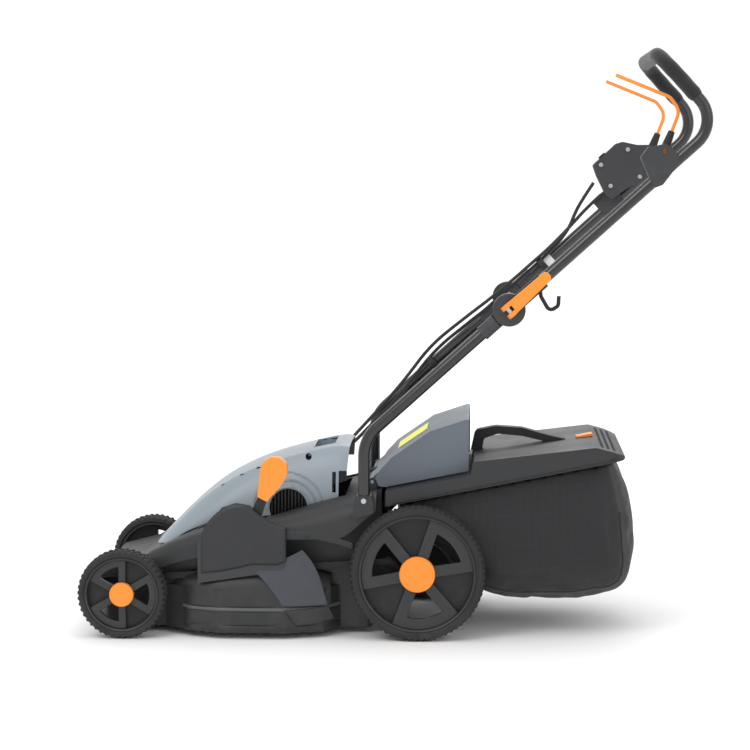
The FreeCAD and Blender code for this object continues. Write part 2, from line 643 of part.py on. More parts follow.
feature("rear_flap", flap_shape())
pin = cylinder("hinge_rod", "3", "280", size("flap_x"), 140.0, size("flap_z"), DOWN_Y)
keep(pin, "flap_pin")


# ---------------------------------------------------------------- grass catcher

def bag_line(x, lift=0.0):
    """Height of the catcher's rim line, which climbs to the rear."""
    return 245.0 + BAG_SLOPE * (x - 486.0) + lift


CATCH = size("catcher_half")


def catcher_top():
    crown = [(486, bag_line(486)), (926, bag_line(926)), (931, 339), (905, 349), (874, 357), (648, 329.5), (644, 304),
             (486, 272)]
    under = [(482, bag_line(482) - 6), (922, bag_line(922) - 6), (926, 337), (903, 345), (873, 353), (652, 326),
             (648, 301), (482, 267)]
    plan = [(480, -CATCH), (932, -CATCH), (932, CATCH), (480, CATCH)]
    shell = side_prism(crown, -CATCH, CATCH, [0, 1, 4, 8, 14, 2, 2, 4])
    shell = shell.common(plan_prism(plan, 200, 400, [12, 40, 40, 12]))
    hollow = side_prism(under, -CATCH + 4, CATCH - 4, [0, 0, 2, 6, 10, 2, 2, 0])
    shell = shell.cut(hollow.common(plan_prism([(x - 4, y - math.copysign(4, y)) for x, y in plan], 150, 400,
                                               [0, 36, 36, 0])))
    for row in range(3):
        for column in range(-10, 11):
            shell = shell.cut(box(884 + 11 * row, 890 + 11 * row, column * 15 - 5, column * 15 + 5, 330, 370))
    return shell.removeSplitter()


feature("catcher_top", catcher_top())


def catcher_bag():
    """Mesh bag below the lid, open at the front mouth and under the lid."""
    outer = [(503, 170), (574, 166), (640, 96), (690, 74), (814, 66), (889, 76), (932, 92), (948, 130), (944, 242),
             (925, bag_line(925) - 1), (912, bag_line(912) - 1), (503, bag_line(503) - 1)]
    inner = [(500, 174), (576, 170), (642, 100), (691, 78), (814, 70), (888, 80), (929, 95), (944, 131), (940, 240),
             (920, 330), (912, 345), (490, 262)]
    shell = side_prism(outer, -182, 182, [0, 20, 40, 40, 60, 40, 22, 30, 30, 2, 2, 0])
    hollow = side_prism(inner, -178, 178, [0, 16, 36, 36, 56, 36, 18, 26, 26, 0, 0, 0])
    trim = plan_prism([(500, -182), (960, -182), (960, 182), (500, 182)], 40, 400, [0, 40, 40, 0])
    inner_trim = plan_prism([(480, -178), (944, -178), (944, 178), (480, 178)], 40, 400, [0, 36, 36, 0])
    return shell.common(trim).cut(hollow.common(inner_trim)).removeSplitter()


feature("catcher_bag", catcher_bag())

hoop = [V(510, -119.5, 250), V(510, -119.5, 178), V(510, 119.5, 178), V(510, 119.5, 250)]
feature("catcher_frame", swept(hoop, 14.0, 3.0))


def catcher_handle():
    """Arched carry handle that stands on the lid."""
    arch = [(642, 326.5), (651, 368), (690, 376), (740, 373), (794, 358), (836, 349.5), (806, 347), (790, 345.5),
            (742, 357), (694, 361), (668, 352), (664, 329)]
    solid = side_prism(arch, -13, 13, [2, 14, 40, 60, 30, 2, 4, 10, 40, 30, 6, 0])
    lid = side_prism([(600, 200), (950, 200), (950, 375), (874, 357.7), (640, 329.0), (600, 329)], -20, 20)
    return solid.cut(lid).removeSplitter()


feature("catcher_handle", catcher_handle())
tell = side_prism([(846, 352.5), (860, 355), (876, 359), (874, 363), (858, 360), (844, 356.5)], -14, 14, 1.0)
tell = tell.cut(side_prism([(600, 200), (950, 200), (950, 375), (874, 357.7), (640, 328.7)], -20, 20))
feature("fill_indicator", tell.fuse(cross_pin(845.2, 356.4, -15, 15, 1.8)).removeSplitter())


# ---------------------------------------------------------------- folding handle

def on_tube(distance, lift=0.0):
    """Point on the handle tube's line, measured from the fold pivot, lifted square to it."""
    x, z = along(SLOPE, distance, FOLD_X, FOLD_Z)
    return along(SLOPE + 90, lift, x, z)


def tube_vector(distance, y, lift=0.0):
    x, z = on_tube(distance, lift)
    return V(x, y, z)


lower_bend = (FOOT_X, FOLD_Z - math.tan(math.radians(SLOPE)) * (FOLD_X - FOOT_X))
lower = swept([V(FOOT_X, -TUBE_Y, 242.5), V(FOOT_X, -TUBE_Y, lower_bend[1]), tube_vector(-32.0, -TUBE_Y)],
              70.0, TUBE, TUBE - size("tube_wall"))
feature("lower_tubes", pair(lower))


def fold_disc(y0, reach, sleeve_from, sleeve_to):
    """Round hinge half with a sleeve that grips its tube."""
    disc = cross_pin(FOLD_X, FOLD_Z, y0, y0 + size("disc_width"), size("disc_radius"))
    sleeve = Part.makeCylinder(TUBE + 3, abs(sleeve_to - sleeve_from), tube_vector(sleeve_from, -TUBE_Y),
                               tube_vector(sleeve_to, -TUBE_Y) - tube_vector(sleeve_from, -TUBE_Y))
    arm = Part.Face(Part.makePolygon([V(x, y0, z) for x, z in (
        on_tube(0, -14), on_tube(sleeve_to, -14), on_tube(sleeve_to, 14), on_tube(0, 14), on_tube(0, -14))]))
    arm = arm.extrude(V(0, size("disc_width"), 0))
    clear = cross_pin(FOLD_X, FOLD_Z, -230, -180, size("disc_radius") + 1.2)
    body = disc.fuse(arm).fuse(sleeve.cut(clear))
    bore = Part.makeCylinder(TUBE + 0.02, 80, tube_vector(reach, -TUBE_Y),
                             tube_vector(reach * 2, -TUBE_Y) - tube_vector(reach, -TUBE_Y))
    body = body.cut(bore).cut(cross_pin(FOLD_X, FOLD_Z, -230, -170, 4.0 + size("running_gap")))
    return body.removeSplitter()


feature("lower_hinge_discs", pair(fold_disc(-199.85, -32.0, -31.5, -66.0)))
feature("upper_hinge_discs", pair(fold_disc(-200.15 - size("disc_width"), 32.0, 31.5, 66.0)))

CAM_Y = -224.0
CAM_AXIS = V(math.sin(math.radians(SLOPE)), 0, -math.cos(math.radians(SLOPE)))


def cam_barrel(radius, half):
    """A pin square to the bolt and to the tube, at the end of the fold bolt."""
    return Part.makeCylinder(radius, 2 * half, V(FOLD_X, CAM_Y, FOLD_Z) - CAM_AXIS * half, CAM_AXIS)


BARREL = 4.7
bolt = cross_pin(FOLD_X, FOLD_Z, CAM_Y, -184.0, 4.0).fuse(cross_pin(FOLD_X, FOLD_Z, -186.2, -181.5, 11.0))
feature("hinge_bolts", pair(bolt.fuse(cam_barrel(BARREL, 12.5)).removeSplitter()))


def cam_lever(side):
    """Quick-release lever with a round cam head that bears on the fold disc."""
    body = side_prism([on_tube(0, -13), on_tube(98, -8), on_tube(98, 10), on_tube(0, 13)], -230.0, -219.0, [0, 8, 8, 0])
    body = body.fuse(cam_barrel(9.8, 13.0))
    body = body.cut(side_prism([on_tube(20, -7), on_tube(90, -4), on_tube(90, 6), on_tube(20, 8)], -222.0, -216.0, 3.0))
    body = body.cut(side_prism([on_tube(-14, -4.8), on_tube(9, -4.8), on_tube(9, 4.8), on_tube(-14, 4.8)], -236.0, -212.0))
    body = body.cut(cam_barrel(BARREL + size("running_gap"), 14.0))
    return (body if side < 0 else mirrored(body)).removeSplitter()


feature("left_cam_lever", cam_lever(-1))
feature("right_cam_lever", cam_lever(1))

TOP_BEND = V(1090.4, -TUBE_Y, 950.8)
GRIP_CORNER = V(979.0, -TUBE_Y, 1072.0)


left_side = [tube_vector(32.0, -TUBE_Y), TOP_BEND, GRIP_CORNER]
handle_route = left_side + [V(p.x, -p.y, p.z) for p in reversed(left_side)]
feature("upper_handle", swept(handle_route, [55.0, 45.0, 45.0, 55.0], TUBE, TUBE - size("tube_wall")))
lean = (GRIP_CORNER - TOP_BEND).normalize()
grip_start = TOP_BEND + lean * 62.0
grip_route = [grip_start, GRIP_CORNER, V(GRIP_CORNER.x, TUBE_Y, GRIP_CORNER.z), V(grip_start.x, TUBE_Y, grip_start.z)]
feature("grip_foam", swept(grip_route, [45.0, 45.0], size("grip_radius"), TUBE))


# ---------------------------------------------------------------- switch levers and switch box

LEVER_Y = 176.0


def switch_levers():
    """Two wire levers joined by the shaft that they turn on."""
    wire = size("lever_wire")
    route = [V(SWITCH_X, -LEVER_Y, SWITCH_Z), V(1020, -LEVER_Y, 972), V(1002, -LEVER_Y, 996), V(904, -LEVER_Y, 1036)]
    arm = swept(route, [26.0, 16.0], wire)
    shaft = cross_pin(SWITCH_X, SWITCH_Z, -205.0, 188.0, 4.5)
    return arm.fuse(mirrored(arm)).fuse(shaft).removeSplitter()


feature("switch_levers", switch_levers())
boot_line = (V(1020, 0, 972) - V(SWITCH_X, 0, SWITCH_Z)).normalize()
start = V(SWITCH_X, -LEVER_Y, SWITCH_Z) + boot_line * 9
boot = Part.makeCone(8.5, 6.0, 30, start, boot_line)
boot = boot.cut(Part.makeCylinder(size("lever_wire"), 60, start - boot_line * 9, boot_line))
feature("lever_boots", pair(boot))


def saddle(body, y):
    """Cut the handle tube's own line out of a moulding that sits on it."""
    bar = Part.makeCylinder(TUBE + 0.02, 420, tube_vector(60, y), tube_vector(80, y) - tube_vector(60, y))
    return body.cut(bar)


def shaft_hole(body):
    return body.cut(cross_pin(SWITCH_X, SWITCH_Z, -220, 220, 4.5 + size("running_gap")))


bracket = side_prism([(948, 888), (962, 906), (975, 908), (992, 912), (1006, 904), (1017, 888), (1017, 876), (988, 838),
                      (972, 832)], -214.0, -185.5, 4.0)
feature("left_bracket", shaft_hole(saddle(bracket, -TUBE_Y)).removeSplitter())

BOX_OUTLINE = [(878, 872), (923, 914), (936, 918), (964, 912), (992, 912), (1006, 902), (1004, 884), (992, 852),
               (944, 826), (916, 806), (905, 812), (886, 850)]
BOX_ROUNDING = [6, 8, 8, 10, 8, 8, 8, 10, 8, 4, 4, 6]
BOX_SCREWS = [(946, 903), (894, 873), (913, 832), (970, 850)]
BOX_SCREW = 2.2


def box_half(y0, y1, wall_side):
    outer = side_prism(BOX_OUTLINE, y0, y1, BOX_ROUNDING)
    centre = V(940, 0, 866)
    inset = [(centre.x + (x - centre.x) * 0.9, centre.z + (z - centre.z) * 0.9) for x, z in BOX_OUTLINE]
    hollow = side_prism(inset, y0 + (3 if wall_side < 0 else -1), y1 - (3 if wall_side > 0 else -1), 5.0)
    body = outer.cut(hollow)
    for x, z in BOX_SCREWS:
        body = body.fuse(cross_pin(x, z, y0, y1, 4.5).common(outer))
        body = body.cut(cross_pin(x, z, y0 - 1, 166.0, BOX_SCREW + 0.03)) if wall_side < 0 else body
    return body


inner_half = shaft_hole(box_half(150.0, 170.0, -1))
outer_half = shaft_hole(box_half(170.0, 190.0, 1))
lever_room = side_prism([(976, 884), (1040, 884), (1040, 1000), (976, 1000)], LEVER_Y - 10.5, LEVER_Y + 10.5)
clamp = side_prism([on_tube(250, -13), on_tube(300, -13), on_tube(300, 30), on_tube(250, 30)], 188.0, 213.0, 4.0)
outer_half = saddle(outer_half.fuse(clamp), TUBE_Y)
press = V(-0.682, 0, 0.731)
button_foot = V(904, 160, 882)
button_bore = Part.makeCylinder(8.3, 40, button_foot - press * 6, press)
feature("switch_box_inner", inner_half.cut(lever_room).cut(button_bore).removeSplitter())
feature("switch_box_outer", outer_half.cut(lever_room).cut(button_bore).removeSplitter())
feature("lock_button", Part.makeCylinder(8.0, 14, button_foot, press))
feature("micro_switch", box(930, 958, 158, 168, 858, 876))
feature("switch_box_screws", Part.Compound([
    cross_pin(x, z, 148.4, 166.0, BOX_SCREW).fuse(cross_pin(x, z, 146.8, 150.0, 4.2)) for x, z in BOX_SCREWS]))


# ---------------------------------------------------------------- cables, clips and small fittings

CABLE = size("cable_radius")


def cable_bends(points):
    """As large a bend at each corner as its two runs leave room for."""
    radii = []
    for before, here, after in zip(points, points[1:], points[2:]):
        run = min((here - before).Length, (after - here).Length)
        half_turn = (here - before).getAngle(after - here) / 2
        radii.append(0.45 * run / math.tan(half_turn))
    print("cable bends", [round(r) for r in radii])
    return radii


def cable(points):
    return swept(points, cable_bends(points), CABLE)


first_cable = [V(881, 176, 838), V(864, 178, 812), V(847, 182, 783), V(834, 187, 748), V(812, 190, 718),
               V(783, 186, 689), V(752, 180, 661), V(FOLD_X + 17, 175, FOLD_Z + 30)]
second_cable = [V(896, 184, 814), V(868, 186, 788), V(840, 187, 756), V(818, 182, 733), V(790, 180, 705),
                V(760, 175, 679), V(734, 169, 656), V(FOLD_X + 8, 166, FOLD_Z + 34)]
feature("upper_cables", Part.Compound([cable(first_cable), cable(second_cable)]))

first_lower = [V(FOLD_X + 16.6, 175, FOLD_Z + 29.6), V(690, 173, 603), V(655, 175, 576), V(618, 180, 546),
               V(586, 183, 520), V(557, 184, 490), V(532, 180, 458), V(506, 170, 424), V(474, 160, 388),
               V(442, 144, 358)] + list(reversed(CABLE_ENDS[0]))
second_lower = [V(FOLD_X + 7.6, 166, FOLD_Z + 33.4), V(682, 155, 612), V(648, 157, 586), V(610, 165, 556),
                V(577, 174, 529), V(548, 175, 499), V(522, 170, 464), V(495, 162, 430), V(464, 151, 396),
                V(434, 134, 364)] + list(reversed(CABLE_ENDS[1]))
feature("lower_cables", Part.Compound([cable(first_lower), cable(second_lower)]))


def cable_clip(at):
    """A strap round the tube and the two cables."""
    along_tube = (tube_vector(at + 1, 0) - tube_vector(at, 0))
    start = tube_vector(at, TUBE_Y)
    strap = Part.makeCylinder(TUBE + 2, 12, start, along_tube)
    strap = strap.fuse(Part.makeCylinder(15, 12, start + V(0, -19, 2), along_tube))
    strap = strap.cut(Part.makeCylinder(TUBE + 0.02, 14, start - along_tube, along_tube))
    return strap.cut(Part.makeCylinder(12.5, 14, start + V(0, -19, 2) - along_tube, along_tube))


feature("upper_cable_clip", cable_clip(88.0))
feature("lower_cable_clip", cable_clip(-205.0))


def cord_hook():
    """Moulded hook on the inner side of the left tube that takes the strain of a mains lead."""
    at = 44.0
    start = tube_vector(at, -TUBE_Y)
    step = tube_vector(at + 1, -TUBE_Y) - start
    ring = Part.makeCylinder(TUBE + 4.2, 14, start + step * 24, step)
    ring = ring.cut(Part.makeCylinder(TUBE + 0.02, 16, start + step * 23, step))
    x, z = on_tube(at + 31)
    finger = swept([V(x, -182, z), V(x + 2, -182, z - 26), V(x + 18, -182, z - 54), V(x + 34, -182, z - 44),
                    V(x + 35, -182, z - 26)], [12.0, 9.0, 8.0], 3.6)
    return ring.fuse(finger).removeSplitter()


feature("cord_hook", cord_hook())

screws = []
for side in (-1, 1):
    y0, y1 = sorted((side * 214.0, side * 216.5))
    screws.append(cross_pin(FOOT_X, 259.0, y0, y1, 5.0))
    screws.append(Part.makeCylinder(HOOD_SCREW, 3.0, V(HOOD_SCREW_X, side * HOOD_SCREW_Y, HOOD_SCREW_Z)))
shoulder = cross_pin(LEVER_X, LEVER_Z, -210.0, -175.0, lever_bolt).fuse(cross_pin(LEVER_X, LEVER_Z, -212.5, -207.0, 8.0))
screws.append(shoulder.removeSplitter())
feature("deck_screws", Part.Compound(screws))


# ---------------------------------------------------------------- check and export

doc.recompute()
os.makedirs("parts", exist_ok=True)
for obj in doc.Objects:
    if any(word in obj.State for word in ("Invalid", "Error")):
        raise ValueError("%s did not build: %s" % (obj.Label, obj.State))
broken = [obj.Label for obj in PARTS if obj.Shape.isNull() or not obj.Shape.isValid() or not obj.Shape.Solids]
if broken:
    raise ValueError("no valid solid: %s" % ", ".join(broken))
whole = PARTS[0].Shape.BoundBox
for obj in PARTS:
    whole.add(obj.Shape.BoundBox)
    obj.Shape.exportStep("parts/%s.step" % obj.Label)
    print("%-24s %2d solids %9.1f cm3" % (obj.Label, len(obj.Shape.Solids), obj.Shape.Volume / 1000))
print(len(PARTS), "nodes", whole)
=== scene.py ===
"""Electric lawn mower: the finish and the soft pieces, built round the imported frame."""

import json
import math

import bmesh
import bpy
from mathutils import Matrix, Vector


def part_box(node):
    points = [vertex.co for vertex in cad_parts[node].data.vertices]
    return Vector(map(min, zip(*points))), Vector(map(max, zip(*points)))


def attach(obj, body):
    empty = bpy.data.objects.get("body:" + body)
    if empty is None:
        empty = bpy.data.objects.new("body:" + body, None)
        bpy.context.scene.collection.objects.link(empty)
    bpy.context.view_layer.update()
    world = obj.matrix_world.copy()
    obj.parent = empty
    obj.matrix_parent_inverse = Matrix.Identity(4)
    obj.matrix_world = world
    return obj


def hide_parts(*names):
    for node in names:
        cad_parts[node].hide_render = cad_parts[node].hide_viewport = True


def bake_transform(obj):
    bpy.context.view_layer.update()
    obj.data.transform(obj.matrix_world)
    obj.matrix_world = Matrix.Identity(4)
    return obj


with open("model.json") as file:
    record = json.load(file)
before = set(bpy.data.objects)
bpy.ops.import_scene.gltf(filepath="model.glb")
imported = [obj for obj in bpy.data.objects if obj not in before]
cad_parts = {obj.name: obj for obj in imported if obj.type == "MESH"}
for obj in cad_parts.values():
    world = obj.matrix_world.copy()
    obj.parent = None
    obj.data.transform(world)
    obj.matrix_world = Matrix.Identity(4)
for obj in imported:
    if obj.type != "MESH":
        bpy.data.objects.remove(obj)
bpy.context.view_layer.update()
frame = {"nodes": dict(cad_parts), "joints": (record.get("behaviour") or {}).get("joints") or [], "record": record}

bl_info = {
    "name": "Lawn Mower",
    "version": (1, 0, 0),
    "blender": (4, 5, 0),
    "location": "3D View > Sidebar > Mower",
    "description": "Builds an electric lawn mower with folding handle, crank wheels and grass catcher",
    "category": "Add Mesh",
}

# ------------------------------------------------------------------ places read from the frame


def joint(name):
    return next(j for j in frame["joints"] if j["name"] == name)


def pivot(name):
    return Vector(joint(name)["pos_m"])


FRONT_AXLE_X = pivot("front_left_wheel_spin").x
FOLD = pivot("handle_fold")
TUBE_ANGLE = math.radians(42)
ALONG = Vector((math.cos(TUBE_ANGLE), 0, math.sin(TUBE_ANGLE)))
ABOVE = Vector((-math.sin(TUBE_ANGLE), 0, math.cos(TUBE_ANGLE)))
TUBE_Y = 0.200
TUBE_R = 0.011


def at(x, y, z):
    """A point given in millimetres from the front axle, on the ground, in the centre plane."""
    return Vector((FRONT_AXLE_X + x / 1000, y / 1000, z / 1000))


def on_tube(distance, y, lift=0.0):
    """A point beside the handle tube: millimetres up it from the fold, and square to it."""
    spot = FOLD + ALONG * distance / 1000 + ABOVE * lift / 1000
    return Vector((spot.x, y / 1000, spot.z))


# ------------------------------------------------------------------ settings a user would change


def paint(code):
    """Linear colour from a six-digit display colour."""
    parts = [int(code[i:i + 2], 16) / 255 for i in (0, 2, 4)]
    return tuple(p / 12.92 if p <= 0.04045 else ((p + 0.055) / 1.055) ** 2.4 for p in parts)


def colour(name, code, note):
    return bpy.props.FloatVectorProperty(name=name, description=note, subtype="COLOR", size=3,
                                         min=0, max=1, default=paint(code))


def length(name, note, value):
    return bpy.props.FloatProperty(name=name, description=note, subtype="DISTANCE", unit="LENGTH",
                                   default=value)


class MowerColours(bpy.types.PropertyGroup):
    """Colours of the mower's plastics, rubber and paint"""
    deck: colour("Deck", "232426", "Dark polypropylene of the deck")
    # Skirt band: a lighter copy of the deck colour, a painted highlight for the light caught by the skirt's
    # upward-facing ledge
    ridge_highlight: colour("Skirt band", "505355", "Lighter band along the deck skirt")
    wing: colour("Wing", "3a3d45", "Blue-grey panel in front of the rear wheel")
    hood: colour("Hood", "87929a", "Cool grey of the motor hood")
    flap: colour("Flap", "626a73", "Blue-grey of the rear flap")
    orange: colour("Orange", "f08c22", "Levers, hub caps and switch wires")
    tyre: colour("Tyre", "1f1f20", "Tyre rubber")
    rim: colour("Rim", "27282a", "Wheel spokes")
    # Rim panel: near black, painted shade in the recesses between the spokes
    panel: colour("Rim panel", "060607", "Recessed panels between the spokes")
    tube: colour("Tube paint", "0a0b0c", "Powder coat of the handle")
    foam: colour("Foam", "151517", "Handle grip foam")
    bag: colour("Bag", "1b1c1f", "Woven mesh of the catcher")
    grey: colour("Grey parts", "303134", "Covers, hinge discs, switch box")
    label: colour("Label", "e9ea4f", "Blank yellow warning label")
    steel: colour("Steel", "b9babd", "Zinc-plated steel")


class MowerSizes(bpy.types.PropertyGroup):
    """Sizes of the finish"""
    tread: length("Tread depth", "Height of the tread blocks", 0.0024)
    edge: length("Edge rounding", "Rounding on moulded edges", 0.0016)
    grain: length("Grain size", "Size of the moulded grain", 0.0011)
    weave: length("Mesh pitch", "Pitch of the catcher's woven mesh", 0.0034)


# ------------------------------------------------------------------ shader node groups


def group(name, inputs, outputs):
    """An empty node group with its sockets. Inputs are (name, kind, default)."""
    tree = bpy.data.node_groups.new(name, "ShaderNodeTree")
    for socket, kind, default in inputs:
        made = tree.interface.new_socket(socket, in_out="INPUT", socket_type=kind)
        if default is not None:
            made.default_value = default
    for socket, kind in outputs:
        tree.interface.new_socket(socket, in_out="OUTPUT", socket_type=kind)
    return tree, tree.nodes.new("NodeGroupInput"), tree.nodes.new("NodeGroupOutput")


def node(tree, kind, inputs=(), **settings):
    """A node with its settings, and its inputs linked or set by (socket, source or value)."""
    made = tree.nodes.new(kind)
    for key, value in settings.items():
        setattr(made, key, value)
    for socket, source in inputs:
        if isinstance(source, bpy.types.NodeSocket):
            tree.links.new(source, made.inputs[socket])
        else:
            made.inputs[socket].default_value = source
    return made


def maths(tree, operation, first, second=0.0, clamp=False):
    made = node(tree, "ShaderNodeMath", ((0, first), (1, second)), operation=operation, use_clamp=clamp)
    return made.outputs[0]


def remap(tree, value, low, high, to_low, to_high):
    made = node(tree, "ShaderNodeMapRange", (("Value", value), ("From Min", low), ("From Max", high),
                                             ("To Min", to_low), ("To Max", to_high)))
    return made.outputs[0]


def grain_group():
    """Fine moulded or sprayed grain, with broad mottling of the tone."""
    tree, gin, gout = group("Moulded Grain", [
        ("Size", "NodeSocketFloat", 0.001), ("Depth", "NodeSocketFloat", 1.0),
        ("Mottle", "NodeSocketFloat", 0.1)],
        [("Height", "NodeSocketFloat"), ("Tone", "NodeSocketFloat"), ("Cloud", "NodeSocketFloat")])
    spot = node(tree, "ShaderNodeTexCoord").outputs["Object"]
    rate = maths(tree, "DIVIDE", 1.0, gin.outputs["Size"])
    fine = node(tree, "ShaderNodeTexNoise",
                (("Vector", spot), ("Scale", rate), ("Detail", 3.0), ("Roughness", 0.6)))
    cell = node(tree, "ShaderNodeTexVoronoi", (("Vector", spot), ("Scale", rate)))
    broad = node(tree, "ShaderNodeTexNoise",
                 (("Vector", spot), ("Scale", 9.0), ("Detail", 4.0), ("Roughness", 0.55)))
    mix = maths(tree, "ADD", maths(tree, "MULTIPLY", fine.outputs[0], 0.6),
                maths(tree, "MULTIPLY", cell.outputs[0], 0.5))
    tree.links.new(maths(tree, "MULTIPLY", mix, gin.outputs["Depth"]), gout.inputs["Height"])
    swing = maths(tree, "MULTIPLY", maths(tree, "SUBTRACT", broad.outputs[0], 0.5), gin.outputs["Mottle"])
    tree.links.new(maths(tree, "ADD", swing, 1.0), gout.inputs["Tone"])
    tree.links.new(broad.outputs[0], gout.inputs["Cloud"])
    return tree


def rub_group():
    """Mask of worn outer edges, broken up by noise."""
    tree, gin, gout = group("Edge Rub", [("Amount", "NodeSocketFloat", 0.5)], [("Mask", "NodeSocketFloat")])
    edge = node(tree, "ShaderNodeNewGeometry").outputs["Pointiness"]
    spot = node(tree, "ShaderNodeTexCoord").outputs["Object"]
    patch = node(tree, "ShaderNodeTexNoise", (("Vector", spot), ("Scale", 60.0), ("Detail", 5.0)))
    raised = remap(tree, edge, 0.52, 0.60, 0.0, 1.0)
    broken = remap(tree, patch.outputs[0], 0.40, 0.62, 0.2, 1.0)
    mask = maths(tree, "MULTIPLY", raised, broken)
    mask = maths(tree, "MULTIPLY", mask, gin.outputs["Amount"], clamp=True)
    tree.links.new(mask, gout.inputs["Mask"])
    return tree


def dust_group():
    """Dry dust that thins out with height above the ground."""
    tree, gin, gout = group("Ground Dust", [
        ("Amount", "NodeSocketFloat", 0.3), ("Reach", "NodeSocketFloat",
                                             0.2)], [("Mask", "NodeSocketFloat")])
    spot = node(tree, "ShaderNodeTexCoord").outputs["Object"]
    split = node(tree, "ShaderNodeSeparateXYZ", ((0, spot),))
    low = remap(tree, split.outputs[2], 0.0, gin.outputs["Reach"], 1.0, 0.0)
    patch = node(tree, "ShaderNodeTexNoise",
                 (("Vector", spot), ("Scale", 28.0), ("Detail", 6.0), ("Roughness", 0.65)))
    broken = remap(tree, patch.outputs[0], 0.38, 0.72, 0.0, 1.0)
    mask = maths(tree, "MULTIPLY", low, broken)
    mask = maths(tree, "MULTIPLY", mask, gin.outputs["Amount"], clamp=True)
    tree.links.new(mask, gout.inputs["Mask"])
    return tree


GROUPS = {}


def effect(tree, name, **values):
    if name not in GROUPS:
        GROUPS[name] = {"grain": grain_group, "rub": rub_group, "dust": dust_group}[name]()
    made = tree.nodes.new("ShaderNodeGroup")
    made.node_tree = GROUPS[name]
    for socket, value in values.items():
        made.inputs[socket.replace("_", " ")].default_value = value
    return made


# ------------------------------------------------------------------ materials

MATERIALS = {}
WHITE = (1, 1, 1)


def shared(maker):
    """Wraps a material maker so that each named material is made once."""
    def find(name, *values):
        if name not in MATERIALS:
            MATERIALS[name] = maker(name, *values)
        return MATERIALS[name]
    return find


def blank(name):
    made = bpy.data.materials.new(name)
    made.use_nodes = True
    return made, made.node_tree, made.node_tree.nodes["Principled BSDF"]


def mix_colour(tree, mask, base, over):
    made = node(tree, "ShaderNodeMix", data_type="RGBA")
    for socket, source in ((0, mask), (6, base), (7, over)):
        if isinstance(source, bpy.types.NodeSocket):
            tree.links.new(source, made.inputs[socket])
        else:
            made.inputs[socket].default_value = (*source, 1) if len(source) == 3 else source
    return made.outputs[2]


def toned(tree, base, texture):
    """A colour varied by the grain's mottled tone."""
    tone = node(tree, "ShaderNodeVectorMath", ((0, base), (1, WHITE)), operation="MULTIPLY")
    tree.links.new(texture.outputs["Tone"], tone.inputs[1])
    return tone.outputs[0]


def bumped(tree, shader, height, distance, strength):
    bump = node(tree, "ShaderNodeBump",
                (("Height", height), ("Distance", distance), ("Strength", strength)))
    tree.links.new(bump.outputs[0], shader.inputs["Normal"])


@shared
def moulded(name, base, rough=0.5, grain=1.0, depth=0.00012, mottle=0.12, rub=0.35, dust=0.25,
            reach=0.16, coat=0.0):
    """Injection-moulded plastic: fine grain, mottled tone, rubbed edges, dust low down."""
    sizes = bpy.context.scene.mower_sizes
    made, tree, shader = blank(name)
    texture = effect(tree, "grain", Size=sizes.grain * grain, Depth=1.0, Mottle=mottle)
    worn = effect(tree, "rub", Amount=rub * 0.5)
    dry = effect(tree, "dust", Amount=dust * 0.3, Reach=reach)
    lighter = tuple(min(1.0, c * 1.7 + 0.02) for c in base)
    rubbed = mix_colour(tree, worn.outputs[0], toned(tree, base, texture), lighter)
    dusty = mix_colour(tree, dry.outputs[0], rubbed, (0.30, 0.27, 0.22))
    tree.links.new(dusty, shader.inputs["Base Color"])
    wave = remap(tree, texture.outputs["Cloud"], 0.3, 0.7, rough - 0.06, rough + 0.07)
    tree.links.new(maths(tree, "ADD", wave, maths(tree, "MULTIPLY", dry.outputs[0], 0.25), True),
                   shader.inputs["Roughness"])
    bumped(tree, shader, texture.outputs["Height"], depth, 0.6)
    shader.inputs["Coat Weight"].default_value = coat
    shader.inputs["Coat Roughness"].default_value = 0.25
    return made


@shared
def metal(name, base, rough=0.32, streak=0.25, metallic=1.0):
    """Plated or ground steel with fine drawn streaks and dull patches."""
    made, tree, shader = blank(name)
    spot = node(tree, "ShaderNodeTexCoord").outputs["Object"]
    drawn = node(tree, "ShaderNodeMapping", (("Vector", spot), ("Scale", (40.0, 400.0, 400.0))))
    lines = node(tree, "ShaderNodeTexNoise",
                 (("Vector", drawn.outputs[0]), ("Scale", 6.0), ("Detail", 3.0)))
    texture = effect(tree, "grain", Size=0.002, Depth=1.0, Mottle=0.3)
    tree.links.new(toned(tree, base, texture), shader.inputs["Base Color"])
    shader.inputs["Metallic"].default_value = metallic
    tree.links.new(remap(tree, lines.outputs[0], 0.3, 0.7, rough - streak * 0.3, rough + streak * 0.5),
                   shader.inputs["Roughness"])
    bumped(tree, shader, lines.outputs[0], 0.00006, 0.5)
    return made


@shared
def powder_coat(name, base):
    """Gloss powder coat with a soft orange-peel surface."""
    made, tree, shader = blank(name)
    texture = effect(tree, "grain", Size=0.0032, Depth=1.0, Mottle=0.15)
    worn = effect(tree, "rub", Amount=0.04)
    bared = mix_colour(tree, worn.outputs[0], toned(tree, base, texture), (0.10, 0.10, 0.11))
    tree.links.new(bared, shader.inputs["Base Color"])
    tree.links.new(remap(tree, texture.outputs["Cloud"], 0.3, 0.7, 0.22, 0.34), shader.inputs["Roughness"])
    bumped(tree, shader, texture.outputs["Height"], 0.0001, 0.35)
    shader.inputs["Coat Weight"].default_value = 0.5
    shader.inputs["Coat Roughness"].default_value = 0.12
    return made


